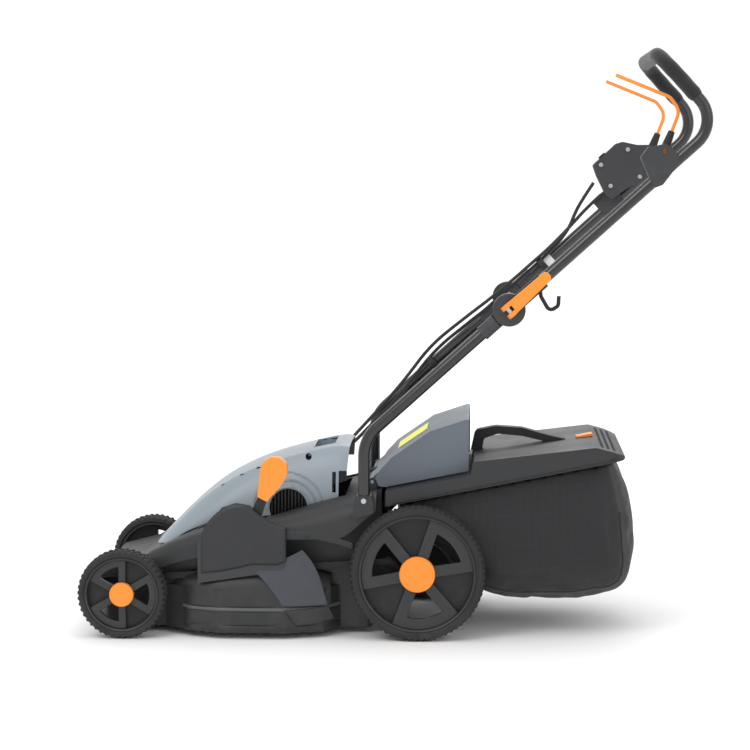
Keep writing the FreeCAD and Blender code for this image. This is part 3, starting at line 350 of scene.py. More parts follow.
@shared
def foam_rubber(name, base):
    """Closed-cell foam: open pores and a soft sheen."""
    made, tree, shader = blank(name)
    spot = node(tree, "ShaderNodeTexCoord").outputs["Object"]
    pores = node(tree, "ShaderNodeTexVoronoi", (("Vector", spot), ("Scale", 720.0)), feature="F1")
    texture = effect(tree, "grain", Size=0.0016, Depth=1.0, Mottle=0.25)
    tree.links.new(toned(tree, base, texture), shader.inputs["Base Color"])
    tree.links.new(remap(tree, texture.outputs["Cloud"], 0.3, 0.7, 0.72, 0.9), shader.inputs["Roughness"])
    depth = maths(tree, "ADD", pores.outputs[0], texture.outputs["Height"])
    bumped(tree, shader, depth, 0.0005, 0.8)
    shader.inputs["Sheen Weight"].default_value = 0.25
    return made


@shared
def mesh_cloth(name, base):
    """Black woven mesh: warp and weft threads, with the holes between them darker as painted shade of the bag's
    inside.
    """
    sizes = bpy.context.scene.mower_sizes
    made, tree, shader = blank(name)
    spot = node(tree, "ShaderNodeTexCoord").outputs["UV"]
    rate = 1.0 / sizes.weave
    waves = []
    for direction in ("X", "Y"):
        wave = node(tree, "ShaderNodeTexWave",
                    (("Vector", spot), ("Scale", rate / 6.2832 * 3.1416), ("Distortion", 0.4),
                     ("Detail", 1.0), ("Detail Scale", 2.0)),
                    wave_type="BANDS", bands_direction=direction, wave_profile="SIN")
        waves.append(wave.outputs[1])
    thread = maths(tree, "MAXIMUM", waves[0], waves[1])
    hole = remap(tree, thread, 0.35, 0.75, 0.0, 1.0)
    texture = effect(tree, "grain", Size=0.004, Depth=1.0, Mottle=0.45)
    # The holes get a quarter of the thread colour: painted shade of the bag's inside seen through the weave.
    dark = tuple(c * 0.25 for c in base)
    dry = effect(tree, "dust", Amount=0.25, Reach=0.14)
    shown = mix_colour(tree, hole, dark, toned(tree, base, texture))
    tree.links.new(mix_colour(tree, dry.outputs[0], shown, (0.22, 0.2, 0.17)), shader.inputs["Base Color"])
    tree.links.new(remap(tree, hole, 0.0, 1.0, 0.95, 0.62), shader.inputs["Roughness"])
    bumped(tree, shader, thread, 0.0005, 0.7)
    shader.inputs["Sheen Weight"].default_value = 0.12
    return made


# slot: maker, material name, colour setting or code, then the maker's own values in order
FINISHES = {
    "tyre": (moulded, "tyre_rubber", "tyre", 0.72, 0.9, 0.0002, 0.25, 0.3, 0.35, 0.10),
    "wheel_plastic": (moulded, "wheel_plastic", "rim", 0.5, 1.0, 0.00014, 0.14, 0.4, 0.2),
    "orange_plastic": (moulded, "orange_plastic", "orange", 0.38, 0.8, 0.00004, 0.05, 0.1, 0.06, 0.1, 0.15),
    "deck_plastic": (moulded, "deck_plastic", "deck", 0.5, 1.2, 0.00016, 0.16, 0.35, 0.25),
    "hood_plastic": (moulded, "hood_plastic", "hood", 0.40, 0.9, 0.00005, 0.06, 0.15, 0.1, 0.12, 0.12),
    "flap_plastic": (moulded, "flap_plastic", "flap", 0.45, 0.9, 0.00006, 0.08, 0.2, 0.05, 0.1, 0.05),
    "black_plastic": (moulded, "black_plastic", "131415", 0.55, 1.0, 0.00016, 0.15, 0.3, 0.15),
    "grey_plastic": (moulded, "grey_plastic", "grey", 0.52, 1.1, 0.00016, 0.12, 0.35, 0.1),
    "tube_paint": (powder_coat, "tube_paint", "tube"),
    "steel": (metal, "zinc_steel", "steel", 0.3),
    "blade_steel": (metal, "blade_steel", "6b6c6f", 0.42, 0.5),
    "bearing_steel": (metal, "bearing_steel", "c4c5c8", 0.2, 0.1),
    "winding": (metal, "winding", "8a5a34", 0.45, 0.3, 0.6),
    "aluminium": (metal, "cast_aluminium", "a3a5a8", 0.45, 0.2),
    "foam": (foam_rubber, "grip_foam_skin", "foam"),
    "mesh_fabric": (mesh_cloth, "woven_mesh", "bag"),
    "cable": (moulded, "cable_sheath", "151618", 0.48, 0.8, 0.00006, 0.1, 0.0, 0.0),
}


def finish_for(slot):
    """The material of a record slot."""
    tint = bpy.context.scene.mower_colours
    maker, name, base, *values = FINISHES[slot]
    return maker(name, getattr(tint, base) if hasattr(tint, base) else paint(base), *values)


# ------------------------------------------------------------------ making pieces

NODE_SLOT = {s["node"]: s["material_slot"] for s in frame["record"]["subparts"]}
NODE_BODY = {n: b for b, nodes in frame["record"]["behaviour"]["bodies"].items() for n in nodes}


def smooth_faces(bm, angle=32.0):
    """Smooth shading with edges sharper than the angle kept crisp."""
    limit = math.radians(angle)
    for face in bm.faces:
        face.smooth = True
    for edge in bm.edges:
        edge.smooth = not (len(edge.link_faces) == 2 and edge.calc_face_angle(0.0) > limit)


def piece(name, bm, material, body, slot, *nodes, angle=32.0, merge=1e-6):
    """Turns a bmesh into a finished piece that rides on a body and stands for CAD nodes."""
    bmesh.ops.remove_doubles(bm, verts=bm.verts, dist=merge)
    bmesh.ops.recalc_face_normals(bm, faces=bm.faces)
    smooth_faces(bm, angle)
    mesh = bpy.data.meshes.new(name)
    bm.to_mesh(mesh)
    bm.free()
    obj = bpy.data.objects.new(name, mesh)
    bpy.context.scene.collection.objects.link(obj)
    for made in material if isinstance(material, (list, tuple)) else [material]:
        obj.data.materials.append(made)
    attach(obj, body)
    if nodes:
        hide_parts(*nodes)
    return obj


def rounded(obj, width, segments=3, angle=30.0):
    """Rounds the moulded edges of a piece."""
    made = obj.modifiers.new("Edges", "BEVEL")
    made.width = width
    made.segments = segments
    made.limit_method = "ANGLE"
    made.angle_limit = math.radians(angle)
    made.harden_normals = False
    made.use_clamp_overlap = True
    return obj


def refined(node_name, material=None, edge=None, segments=3):
    """A merged copy of a CAD node with flat faces joined and every edge rounded."""
    bm = opened(frame["nodes"][node_name].data)
    bmesh.ops.remove_doubles(bm, verts=bm.verts, dist=2e-6)
    bmesh.ops.dissolve_limit(bm, angle_limit=math.radians(0.6), verts=bm.verts, edges=bm.edges)
    slot = NODE_SLOT[node_name]
    smooth_faces(bm, 26.0)
    mesh = bpy.data.meshes.new(node_name + "_finish")
    bm.to_mesh(mesh)
    bm.free()
    obj = bpy.data.objects.new(mesh.name, mesh)
    bpy.context.scene.collection.objects.link(obj)
    mesh.materials.append(material or finish_for(slot))
    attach(obj, NODE_BODY[node_name])
    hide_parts(node_name)
    rounded(obj, edge or bpy.context.scene.mower_sizes.edge, segments)
    return obj


def ring_of(bm, profile, centre, steps):
    """Spins an open or closed outline of (radius, y) about the Y axis through a centre."""
    verts = [bm.verts.new(centre + Vector((r, y, 0))) for r, y in profile]
    edges = [bm.edges.new((a, b)) for a, b in zip(verts, verts[1:] + verts[:1])]
    bmesh.ops.spin(bm, geom=verts + edges, cent=centre, axis=(0, 1, 0), angle=math.tau, steps=steps,
                   use_merge=True, dvec=(0, 0, 0))


def opened(mesh):
    """A bmesh with a mesh's geometry."""
    bm = bmesh.new()
    bm.from_mesh(mesh)
    return bm


def pushed(bm, faces, step):
    """Extrudes faces and moves the new ones by a step."""
    grown = bmesh.ops.extrude_face_region(bm, geom=faces)["geom"]
    bmesh.ops.translate(bm, verts=[g for g in grown if isinstance(g, bmesh.types.BMVert)], vec=step)


def skinned(bm, rows):
    """Faces between rows of vertices."""
    for near, far in zip(rows, rows[1:]):
        for k in range(len(near) - 1):
            bm.faces.new((near[k], near[k + 1], far[k + 1], far[k]))


def curve_mesh(name, points, radius, kind, fineness):
    """A capped round bar along points, its path straight (POLY) or smoothed (NURBS)."""
    data = bpy.data.curves.new(name, "CURVE")
    data.dimensions = "3D"
    data.bevel_depth = radius
    data.bevel_resolution = fineness
    data.use_fill_caps = True
    line = data.splines.new(kind)
    line.points.add(len(points) - 1)
    for spot, where in zip(line.points, points):
        spot.co = (*where, 1)
    if kind == "NURBS":
        line.order_u = 3
        line.use_endpoint_u = True
        line.resolution_u = 8
    holder = bpy.data.objects.new(name + "_line", data)
    mesh = bpy.data.meshes.new_from_object(holder)
    bpy.data.objects.remove(holder)
    return mesh


def tube_curve(name, points, radius, material, body, slot, *nodes, corner=None):
    """A round bar along straight runs with rounded corners."""
    path = arc_path(points, corner) if corner else points
    bm = opened(curve_mesh(name, path, radius, "POLY", 7))
    return piece(name, bm, material, body, slot, *nodes, angle=50.0)


def arc_path(points, radii, steps=14):
    """Points along straight runs joined by tangent arcs."""
    path = [points[0]]
    for index in range(1, len(points) - 1):
        here = points[index]
        back = (points[index - 1] - here).normalized()
        ahead = (points[index + 1] - here).normalized()
        half = back.angle(ahead) / 2
        radius = radii[index - 1]
        setback = radius / math.tan(half)
        centre = here + (back + ahead).normalized() * (radius / math.sin(half))
        first = here + back * setback - centre
        last = here + ahead * setback - centre
        turn = first.angle(last)
        axis = first.cross(last).normalized()
        for step in range(steps + 1):
            path.append(centre + Matrix.Rotation(turn * step / steps, 3, axis) @ first)
    path.append(points[-1])
    return path


# ------------------------------------------------------------------ wheels


def tyre_mesh(radius, seat, half, blocks, tread):
    """A tyre with rows of small tread blocks and a scalloped shoulder, about the Y axis."""
    base = radius - tread
    bm = bmesh.new()
    shoulder = half - 0.0065
    profile = [(seat, half - 0.003), (seat + 0.004, half), (base - 0.009, half),
               (base - 0.0035, half - 0.0012),
               (base, shoulder), (base, shoulder * 0.34)]
    profile = [(r, -y) for r, y in profile] + profile[::-1]
    ring_of(bm, profile, Vector((0, 0, 0)), blocks * 2)
    bmesh.ops.remove_doubles(bm, verts=bm.verts, dist=1e-6)
    bmesh.ops.recalc_face_normals(bm, faces=bm.faces)
    raised = []
    for face in bm.faces:
        spot = face.calc_center_median()
        reach = math.hypot(spot.x, spot.z)
        turn = math.atan2(spot.z, spot.x) % math.tau
        step = int(turn / math.tau * blocks * 2)
        row = 0 if abs(spot.y) < shoulder * 0.34 else 1
        if reach > base - 0.0045 and (step + row) % 2 == 0:
            raised.append(face)
    made = bmesh.ops.extrude_discrete_faces(bm, faces=raised)["faces"]
    for face in made:
        spot = face.calc_center_median()
        outward = Vector((spot.x, 0, spot.z)).normalized()
        bmesh.ops.translate(bm, verts=face.verts, vec=outward * tread)
    for face in made:
        middle_spot = face.calc_center_median()
        bmesh.ops.scale(bm, verts=face.verts, vec=(0.86, 0.86, 0.86),
                        space=Matrix.Translation(-middle_spot))
    return bm


def fan_frame(bm, centre_angle, hub, dish, width, face_y, depth, spread):
    """Two spokes joined by an arc next to the tyre seat, round an open window."""
    def loop(offset, start, stop):
        points = []
        for sign in (-1, 1):
            angle = math.radians(centre_angle + sign * spread)
            out = Vector((math.cos(angle), 0, math.sin(angle)))
            side = Vector((-math.sin(angle), 0, math.cos(angle))) * (-sign) * offset
            run = [out * (start + (stop - start) * k / 5) + side for k in range(6)]
            points.append(run if sign < 0 else run[::-1])
        first = math.atan2(points[0][-1].z, points[0][-1].x)
        last = math.atan2(points[1][0].z, points[1][0].x)
        sweep = (last - first) % math.tau
        reach = points[0][-1].length
        arc = [Vector((math.cos(first + sweep * k / 12), 0, math.sin(first + sweep * k / 12))) * reach
               for k in range(1, 12)]
        return points[0] + arc + points[1]

    outer = loop(-width / 2, hub, dish)
    inner = loop(width / 2, hub + width * 0.35, dish - width)
    loops = []
    for ring in (outer, inner):
        verts = [bm.verts.new(p + Vector((0, face_y, 0))) for p in ring]
        loops.append([bm.edges.new((a, b)) for a, b in zip(verts, verts[1:] + verts[:1])])
    pushed(bm, bmesh.ops.bridge_loops(bm, edges=loops[0] + loops[1])["faces"], (0, depth, 0))


def panel_sector(bm, start, stop, inner, outer, face_y, depth):
    """A recessed solid panel between two fan frames."""
    verts = [bm.verts.new((inner * math.cos(start), face_y, inner * math.sin(start))),
             bm.verts.new((outer * math.cos(start), face_y, outer * math.sin(start)))]
    edge = bm.edges.new(verts)
    bmesh.ops.spin(bm, geom=[*verts, edge], cent=(0, 0, 0), axis=(0, -1, 0), angle=stop - start, steps=14)
    faces = [f for f in bm.faces if all(abs(v.co.y - face_y) < 1e-7 for v in f.verts)]
    pushed(bm, faces, (0, depth, 0))


def wheel(name, side, seat, hub, cap, windows, blocks):
    """Tyre, barrel, spokes, panels and hub cap of one wheel."""
    body = name + "_wheel"
    sizes = bpy.context.scene.mower_sizes
    tint = bpy.context.scene.mower_colours
    centre = pivot(name + "_wheel_spin")
    turn = Matrix.Identity(4) if side < 0 else Matrix.Rotation(math.pi, 4, "Z")
    place = Matrix.Translation(centre) @ turn
    half = 0.0225
    low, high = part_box(name + "_wheel_tyre")
    radius = (high.z - low.z) / 2

    bm = tyre_mesh(radius, seat, half, blocks, sizes.tread)
    bmesh.ops.transform(bm, matrix=place, verts=bm.verts)
    tyre = piece(name + "_tyre", bm, finish_for("tyre"), body, "tyre", name + "_wheel_tyre", angle=28)
    rounded(tyre, 0.0005, 2, 40)

    dish = seat - 0.0045
    bm = bmesh.new()
    barrel = [(dish, -0.0185), (seat - 0.001, -0.0205), (seat, -0.019), (seat, 0.019), (dish, 0.019),
              (dish, 0.0)]
    ring_of(bm, barrel, Vector((0, 0, 0)), 96)
    ring_of(bm, [(0.0061, -0.012), (hub, -0.012), (hub, 0.018), (0.0061, 0.018)], Vector((0, 0, 0)), 48)
    width = 0.19 * seat
    for angle in windows:
        fan_frame(bm, angle, hub * 0.9, dish - 0.0005, width, -0.0135, 0.009, 31.0)
    bmesh.ops.transform(bm, matrix=place, verts=bm.verts)
    rim = piece(name + "_spokes", bm, finish_for("wheel_plastic"), body, "wheel_plastic",
                name + "_wheel_rim")
    rounded(rim, 0.0014, 3)

    bm = bmesh.new()
    for angle in windows:
        start = math.radians(angle + 24)
        panel_sector(bm, start, start + math.radians(72), hub * 0.9, dish + 0.001, -0.0045, 0.004)
    bmesh.ops.transform(bm, matrix=place, verts=bm.verts)
    # The recessed panels get a near-black colour: painted shade between the spokes.
    dark = moulded("rim_panel_shade", tint.panel, 0.55, 1.0, 0.00014, 0.2, 0.2, 0.3)
    panels = piece(name + "_panels", bm, dark, body, "wheel_plastic", name + "_wheel_rim")
    rounded(panels, 0.0008, 2)

    bm = bmesh.new()
    ring_of(bm, [(0.0, -0.0199), (cap - 0.0042, -0.0199), (cap - 0.0036, -0.0195), (cap - 0.003, -0.0199),
                 (cap - 0.0012, -0.0199), (cap, -0.0186), (cap, -0.0092), (0.0, -0.0092)],
            Vector((0, 0, 0)), 64)
    bmesh.ops.transform(bm, matrix=place, verts=bm.verts)
    piece(name + "_cap", bm, finish_for("orange_plastic"), body, "orange_plastic", name + "_wheel_cap",
          angle=25)


# ------------------------------------------------------------------ motor hood

# (x, height) of the hood's centre line and of its lower side edge, front to rear
HOOD_CREST = [(50, 160), (62, 172), (84, 196), (114, 225), (153, 259), (193, 284), (247, 309), (300, 325),
              (355, 339), (384, 345), (405, 347), (415, 343)]
HOOD_EAVE = [(80, 166), (88, 172), (104, 184), (130, 196), (163, 208), (193, 214), (247, 216), (300, 221),
             (355, 237), (380, 244), (398, 250), (406, 254)]
HOOD_HALF = 129.0  # half the hood's width, in millimetres
CREASE_SHARE = 0.62  # how far down from the centre line the side crease runs
CREASE_OUT = 0.72  # how far out it stands


def hood_point(station, share, side):
    """A point of the hood: share 0 is the centre line, 1 the lower side edge."""
    crest, eave = HOOD_CREST[station], HOOD_EAVE[station]
    if share <= CREASE_SHARE:
        bow = share / CREASE_SHARE
        return at(crest[0], side * HOOD_HALF * CREASE_OUT * bow, crest[1] + 3.5 * (1 - bow * bow))
    drop = (share - CREASE_SHARE) / 0.38
    lean = math.sin(drop * math.pi / 2) ** 0.8
    x = crest[0] + (eave[0] - crest[0]) * drop ** 1.3
    out = side * HOOD_HALF * (CREASE_OUT + 0.28 * lean)
    return at(x, out, crest[1] + (eave[1] - crest[1]) * drop ** 1.12)


def hood_skin():
    """The hood's outer skin as a grid from nose to tail and from side to side."""
    shares = [0.0, 0.22, 0.44, 0.585, 0.62, 0.66, 0.72, 0.80, 0.88, 0.95, 1.0]
    rows = [(-1, s) for s in reversed(shares[1:])] + [(1, s) for s in shares]
    bm = bmesh.new()
    line = [bm.verts.new(hood_point(0, share, side)) for side, share in rows]
    edges = [bm.edges.new((a, b)) for a, b in zip(line, line[1:])]
    for station in range(1, len(HOOD_CREST)):
        grown = bmesh.ops.extrude_edge_only(bm, edges=edges)["geom"]
        verts = [g for g in grown if isinstance(g, bmesh.types.BMVert)]
        edges = [g for g in grown if isinstance(g, bmesh.types.BMEdge)]
        verts.sort(key=lambda v: v.co.y)
        for vert, (side, share) in zip(verts, rows):
            vert.co = hood_point(station, share, side)
    crease = bm.edges.layers.float.new("crease_edge")
    for edge in bm.edges:
        ys = [abs(v.co.y) for v in edge.verts]
        if abs(ys[0] - ys[1]) < 1e-6 and abs(ys[0] - HOOD_HALF * CREASE_OUT / 1000) < 1e-5:
            edge[crease] = 0.62
        if edge.is_boundary:
            edge[crease] = 1.0
    return bm


def apply_modifiers(obj):
    """Bakes a piece's modifiers into its mesh."""
    shown = obj.evaluated_get(bpy.context.evaluated_depsgraph_get())
    mesh = bpy.data.meshes.new_from_object(shown)
    obj.modifiers.clear()
    obj.data = mesh
    return obj


def loose(name, bm):
    mesh = bpy.data.meshes.new(name)
    bmesh.ops.recalc_face_normals(bm, faces=bm.faces)
    bm.to_mesh(mesh)
    bm.free()
    obj = bpy.data.objects.new(name, mesh)
    bpy.context.scene.collection.objects.link(obj)
    return obj


def carve(obj, cutters):
    """Cuts tools out of a piece, then removes the tools."""
    for tool in cutters:
        made = obj.modifiers.new("Cut", "BOOLEAN")
        made.object = tool
        made.operation = "DIFFERENCE"
        made.solver = "EXACT"
        apply_modifiers(obj)
        bpy.data.objects.remove(tool)
    return obj


def block(name, low, high, bevel=0.0, axis=None):
    """A box tool between two corners, its edges along an axis rounded."""
    bm = bmesh.new()
    bmesh.ops.create_cube(bm, size=1.0)
    bmesh.ops.scale(bm, vec=Vector(high) - Vector(low), verts=bm.verts)
    bmesh.ops.translate(bm, vec=(Vector(low) + Vector(high)) / 2, verts=bm.verts)
    if bevel:
        edges = [e for e in bm.edges if axis is None or
                 abs((e.verts[0].co - e.verts[1].co).normalized()[axis]) > 0.99]
        bmesh.ops.bevel(bm, geom=edges, offset=bevel, affect="EDGES", segments=4, profile=0.5, material=-1)
    return loose(name, bm)


def round_tool(name, centre, radius, y0, y1):
    """A round tool along Y."""
    bm = bmesh.new()
    bmesh.ops.create_cone(bm, cap_ends=True, segments=48, radius1=radius, radius2=radius,
                          depth=abs(y1 - y0))
    bmesh.ops.rotate(bm, cent=(0, 0, 0), matrix=Matrix.Rotation(math.pi / 2, 3, "X"), verts=bm.verts)
    bmesh.ops.translate(bm, vec=Vector((centre.x, (y0 + y1) / 2, centre.z)), verts=bm.verts)
    return loose(name, bm)


VENT = at(302, 0, 232)


def side_y(x, z, side):
    """How far out the hood's side skin stands at a place in side view."""
    best = None
    for station in range(len(HOOD_CREST) - 1):
        for k in range(5):
            mix = k / 5
            for share in [0.62 + 0.038 * n for n in range(11)]:
                spot = hood_point(station, share, side).lerp(hood_point(station + 1, share, side), mix)
                gap = (spot.x - x) ** 2 + (spot.z - z) ** 2
                if best is None or gap < best[0]:
                    best = (gap, spot.y)
    return best[1]


def vent_arch(side, radius, thick, stand, name, material):
    """A raised arch that follows the hood's side round the vent."""
    bm = bmesh.new()
    previous = None
    steps = 30
    for step in range(steps + 1):
        angle = math.radians(-4 + 188 * step / steps)
        out = Vector((math.cos(angle), 0, math.sin(angle)))
        ring = []
        for reach, lift in ((radius - thick, -0.001), (radius - thick * 0.6, stand),
                            (radius + thick * 0.6, stand),
                            (radius + thick, -0.001)):
            spot = VENT + out * reach
            spot.y = side_y(spot.x, spot.z, side) + side * lift
            ring.append(bm.verts.new(spot))
        if previous:
            for a in range(3):
                bm.faces.new((previous[a], previous[a + 1], ring[a + 1], ring[a]))
            bm.faces.new((previous[3], previous[0], ring[0], ring[3]))
        else:
            bm.faces.new(ring)
        previous = ring
    bm.faces.new(previous)
    return piece(name, bm, material, "root", "hood_plastic", angle=40)


def motor_hood():
    tint = bpy.context.scene.mower_colours
    hood = loose("motor_hood_skin", hood_skin())
    made = hood.modifiers.new("Smooth", "SUBSURF")
    made.levels = made.render_levels = 2
    wall = hood.modifiers.new("Wall", "SOLIDIFY")
    wall.thickness = 0.003
    wall.offset = -1.0
    apply_modifiers(hood)
    tools = [block("well", at(346, -58, 299), at(386, 58, 420), 0.008, axis=2)]
    tools.append(block("step", at(396, -140, 240), at(440, 140, 302), 0.002))
    tools.append(block("notch_rear", at(384, -140, 262), at(391, -96, 300), 0.001))
    for side in (-1, 1):
        y0, y1 = sorted((side * 0.060, side * 0.150))
        tools.append(round_tool("vent", VENT, 0.036, y0, y1))
        for x, z in ((176, 268), (211, 288), (243, 301)):
            spot = at(x, side * 93, z + 2)
            tools.append(block("notch", spot - Vector((0.004, 0.004, 0.002)),
                               spot + Vector((0.004, 0.004, 0.002))))
        spot = at(338, side * 96, 326)
        tools.append(round_tool("screw_well", Vector((spot.x, 0, spot.z)), 0.006,
                                *sorted((side * 0.088, side * 0.110))))
    carve(hood, tools)
    bm = opened(hood.data)
    bpy.data.objects.remove(hood)
    skin = piece("motor_hood_shell", bm, finish_for("hood_plastic"), "root", "hood_plastic",
                 "motor_hood", angle=34)
    rounded(skin, 0.0007, 2, 44)

    pan = block("pan", at(343.5, -60.5, 297), at(388.5, 60.5, 340), 0.008, axis=2)
    well = block("pan_room", at(346, -58, 299.5), at(386, 58, 420), 0.007, axis=2)
    carve(pan, [well])
    bm = opened(pan.data)
    bpy.data.objects.remove(pan)
    piece("hood_carry_well", bm, finish_for("hood_plastic"), "root", "hood_plastic", "motor_hood")

    # The vent arches get a darker copy of the hood colour: painted shade round the vent.
    trim = moulded("hood_arch_shaded", tuple(c * 0.86 for c in tint.hood), 0.42, 0.9, 0.00005, 0.06, 0.1, 0.1)
    for side, word in ((-1, "left"), (1, "right")):
        for count, (radius, thick) in enumerate(((0.040, 0.0028), (0.052, 0.0022), (0.066, 0.0018))):
            vent_arch(side, radius, thick, 0.0012, "vent_arch_%s_%d" % (word, count), trim)
        bm = bmesh.new()
        for step in range(-5, 6):
            x = VENT.x + step * 0.0064
            reach = math.sqrt(max(0.0, 0.0355 ** 2 - (step * 0.0064) ** 2))
            if reach < 0.004:
                continue
            low, high = Vector((x - 0.0017, 0, VENT.z - 0.02)), Vector((x + 0.0017, 0, VENT.z + reach))
            part = bmesh.ops.create_cube(bm, size=1.0)["verts"]
            outer = abs(side_y(x, VENT.z + reach * 0.5, side)) - 0.004
            bmesh.ops.scale(bm, vec=(high.x - low.x, 0.010, high.z - low.z), verts=part)
            place = ((low.x + high.x) / 2, side * (outer - 0.005), (low.z + high.z) / 2)
            bmesh.ops.translate(bm, vec=place, verts=part)
        back = bmesh.ops.create_cone(bm, cap_ends=True, segments=40, radius1=0.0365, radius2=0.0365,
                                     depth=0.002)["verts"]
        bmesh.ops.rotate(bm, cent=(0, 0, 0), matrix=Matrix.Rotation(math.pi / 2, 3, "X"), verts=back)
        bmesh.ops.translate(bm, vec=(VENT.x, side * 0.098, VENT.z), verts=back)
        grille = piece("vent_louvres_" + word, bm, finish_for("black_plastic"), "root", "black_plastic",
                       "hood_grilles")
        rounded(grille, 0.0006, 2)


# ------------------------------------------------------------------ deck

SKIRT = [(88, 152), (94, 157), (116, 194), (124, 200), (172, 217), (184, 220.5), (236, 222),
         (294, 220.5), (306, 217),
         (366, 199), (374, 192), (396, 157), (402, 152)]


def skirt_strip(name, side, lower, upper, stand, material, curl):
    """A moulded band that follows the skirt, from one height to another, standing off it."""
    bm = bmesh.new()
    rows = []
    heights = [lower + (upper - lower) * share for share in (0.0, 0.12, 0.5, 0.88)] + [upper]
    offsets = [-1.0, stand * 0.8, stand, stand * 0.8, -1.0]
    for height, offset in zip(heights, offsets):
        row = []
        for index, (x, y) in enumerate(SKIRT):
            share = index / (len(SKIRT) - 1)
            dip = curl * (1 - (2 * share - 1) ** 2)
            row.append(bm.verts.new(at(x, side * min(y + offset, 226.0), height - dip)))
        rows.append(row)
    skinned(bm, rows)
    obj = piece(name, bm, material, "root", "deck_plastic", angle=50)
    wall = obj.modifiers.new("Wall", "SOLIDIFY")
    wall.thickness = 0.0015
    wall.offset = -1.0
    smooth = obj.modifiers.new("Smooth", "SUBSURF")
    smooth.levels = smooth.render_levels = 2
    return obj


def plate(name, outline, y0, y1, material, body, slot, edge):
    """A flat-sided moulding from a side-view outline in millimetres, its edges rounded."""
    bm = bmesh.new()
    verts = [bm.verts.new(at(x, y0, z)) for x, z in outline]
    face = bm.faces.new(verts)
    pushed(bm, [face], (0, (y1 - y0) / 1000, 0))
    rounded(piece(name, bm, material, body, slot), edge, 4, 25)


def smooth_outline(points, steps=6, closed=True):
    """A soft closed curve through points, as more points."""
    count = len(points)
    out = []
    for i in range(count if closed else count - 1):
        p0, p1, p2, p3 = (Vector(points[(i + k) % count if closed else max(0, min(count - 1, i + k))])
                          for k in (-1, 0, 1, 2))
        for step in range(steps):
            t = step / steps
            spot = 0.5 * ((2 * p1) + (p2 - p0) * t + (2 * p0 - 5 * p1 + 4 * p2 - p3) * t * t
                          + (3 * p1 - p0 - 3 * p2 + p3) * t * t * t)
            out.append(tuple(spot))
    return out


def deck_trim():
    """Skirt bands, flank wing, shoulder groove and side-rail of the deck, on both sides."""
    tint = bpy.context.scene.mower_colours
    # The band gets a lighter copy of the deck colour: painted highlight on the skirt's upward-facing ledge.
    ridge_highlight = moulded("skirt_highlight_band", tint.ridge_highlight, 0.42, 1.0, 0.00012, 0.12, 0.3, 0.2)
    # The lip gets a darker copy of the deck colour: painted shade under the skirt's lower edge.
    lip = moulded("skirt_lip_shade", paint("17181a"), 0.42, 1.0, 0.0001, 0.12, 0.3, 0.3)
    wing = moulded("flank_wing", tint.wing, 0.46, 1.1, 0.00014, 0.12, 0.3, 0.2)
    for side, word in ((-1, "left"), (1, "right")):
        skirt_strip("skirt_highlight_band_" + word, side, 54, 62, 3.4, ridge_highlight, curl=2.0)
        skirt_strip("skirt_lip_shade_" + word, side, 12.5, 26, 1.6, lip, curl=0.0)
        skirt_strip("skirt_face_" + word, side, 26, 55, 1.2, finish_for("deck_plastic"), curl=1.0)
        body_skin("skirt_shoulder_" + word, side, SHOULDER_ROWS, finish_for("deck_plastic"))
        body_skin("flank_wing_" + word, side, WING_ROWS, wing)
        body_skin("flank_foot_" + word, side, FOOT_ROWS, finish_for("deck_plastic"))
        body_skin("front_shoulder_" + word, side, FRONT_ROWS, finish_for("deck_plastic"))
        body_skin("rear_shoulder_" + word, side, REAR_ROWS, finish_for("deck_plastic"))
        badge_panel("badge_panel_" + word, side)
        y0, y1 = sorted((side * 194.0, side * 206.0))
        rail = [(300, 183), (330, 184), (362, 184), (400, 175), (430, 165), (430, 180), (392, 192),
                (345, 200), (300, 202)]
        plate("side_rail_" + word, rail, y0, y1, finish_for("deck_plastic"), "root", "deck_plastic",
              edge=0.0035)
        bolt_hole = at(343, side * 206.4, 190)
        bm = bmesh.new()
        ring_of(bm, [(0.0, 0.0), (0.0042, 0.0), (0.0042, side * -0.002), (0.0, side * -0.002)],
                bolt_hole, 24)
        piece("rail_recess_" + word, bm, finish_for("black_plastic"), "root", "black_plastic")


BADGE = [(147, 122), (148.5, 190), (155, 210), (170, 229), (192, 246), (214, 252.5), (236, 247.5),
         (256, 232),
         (278, 216.5), (304, 207.5), (305, 145), (289, 138.5), (241, 139), (218, 133), (185, 126)]


def badge_panel(name, side):
    """The plain raised face of the side cover, inside a sloping rim that catches the light."""
    outline = smooth_outline(BADGE[:9], 5, closed=False) + BADGE[8:]
    centre = Vector((228, 186))
    bm = bmesh.new()
    rows = []
    for share, y in ((1.0, 205.0), (1.0, 216.4), (0.985, 217.6), (0.915, 220.6), (0.90, 220.8)):
        ring = [centre + (Vector(spot) - centre) * share for spot in outline]
        rows.append([bm.verts.new(at(spot.x, side * y, spot.y)) for spot in ring])
    for low_row, high_row in zip(rows, rows[1:]):
        for k, vert in enumerate(low_row):
            after = (k + 1) % len(low_row)
            bm.faces.new((vert, low_row[after], high_row[after], high_row[k]))
    bm.faces.new(rows[-1])
    bmesh.ops.recalc_face_normals(bm, faces=bm.faces)
    rounded(piece(name, bm, finish_for("deck_plastic"), "root", "deck_plastic", angle=28), 0.0012, 3, 24)


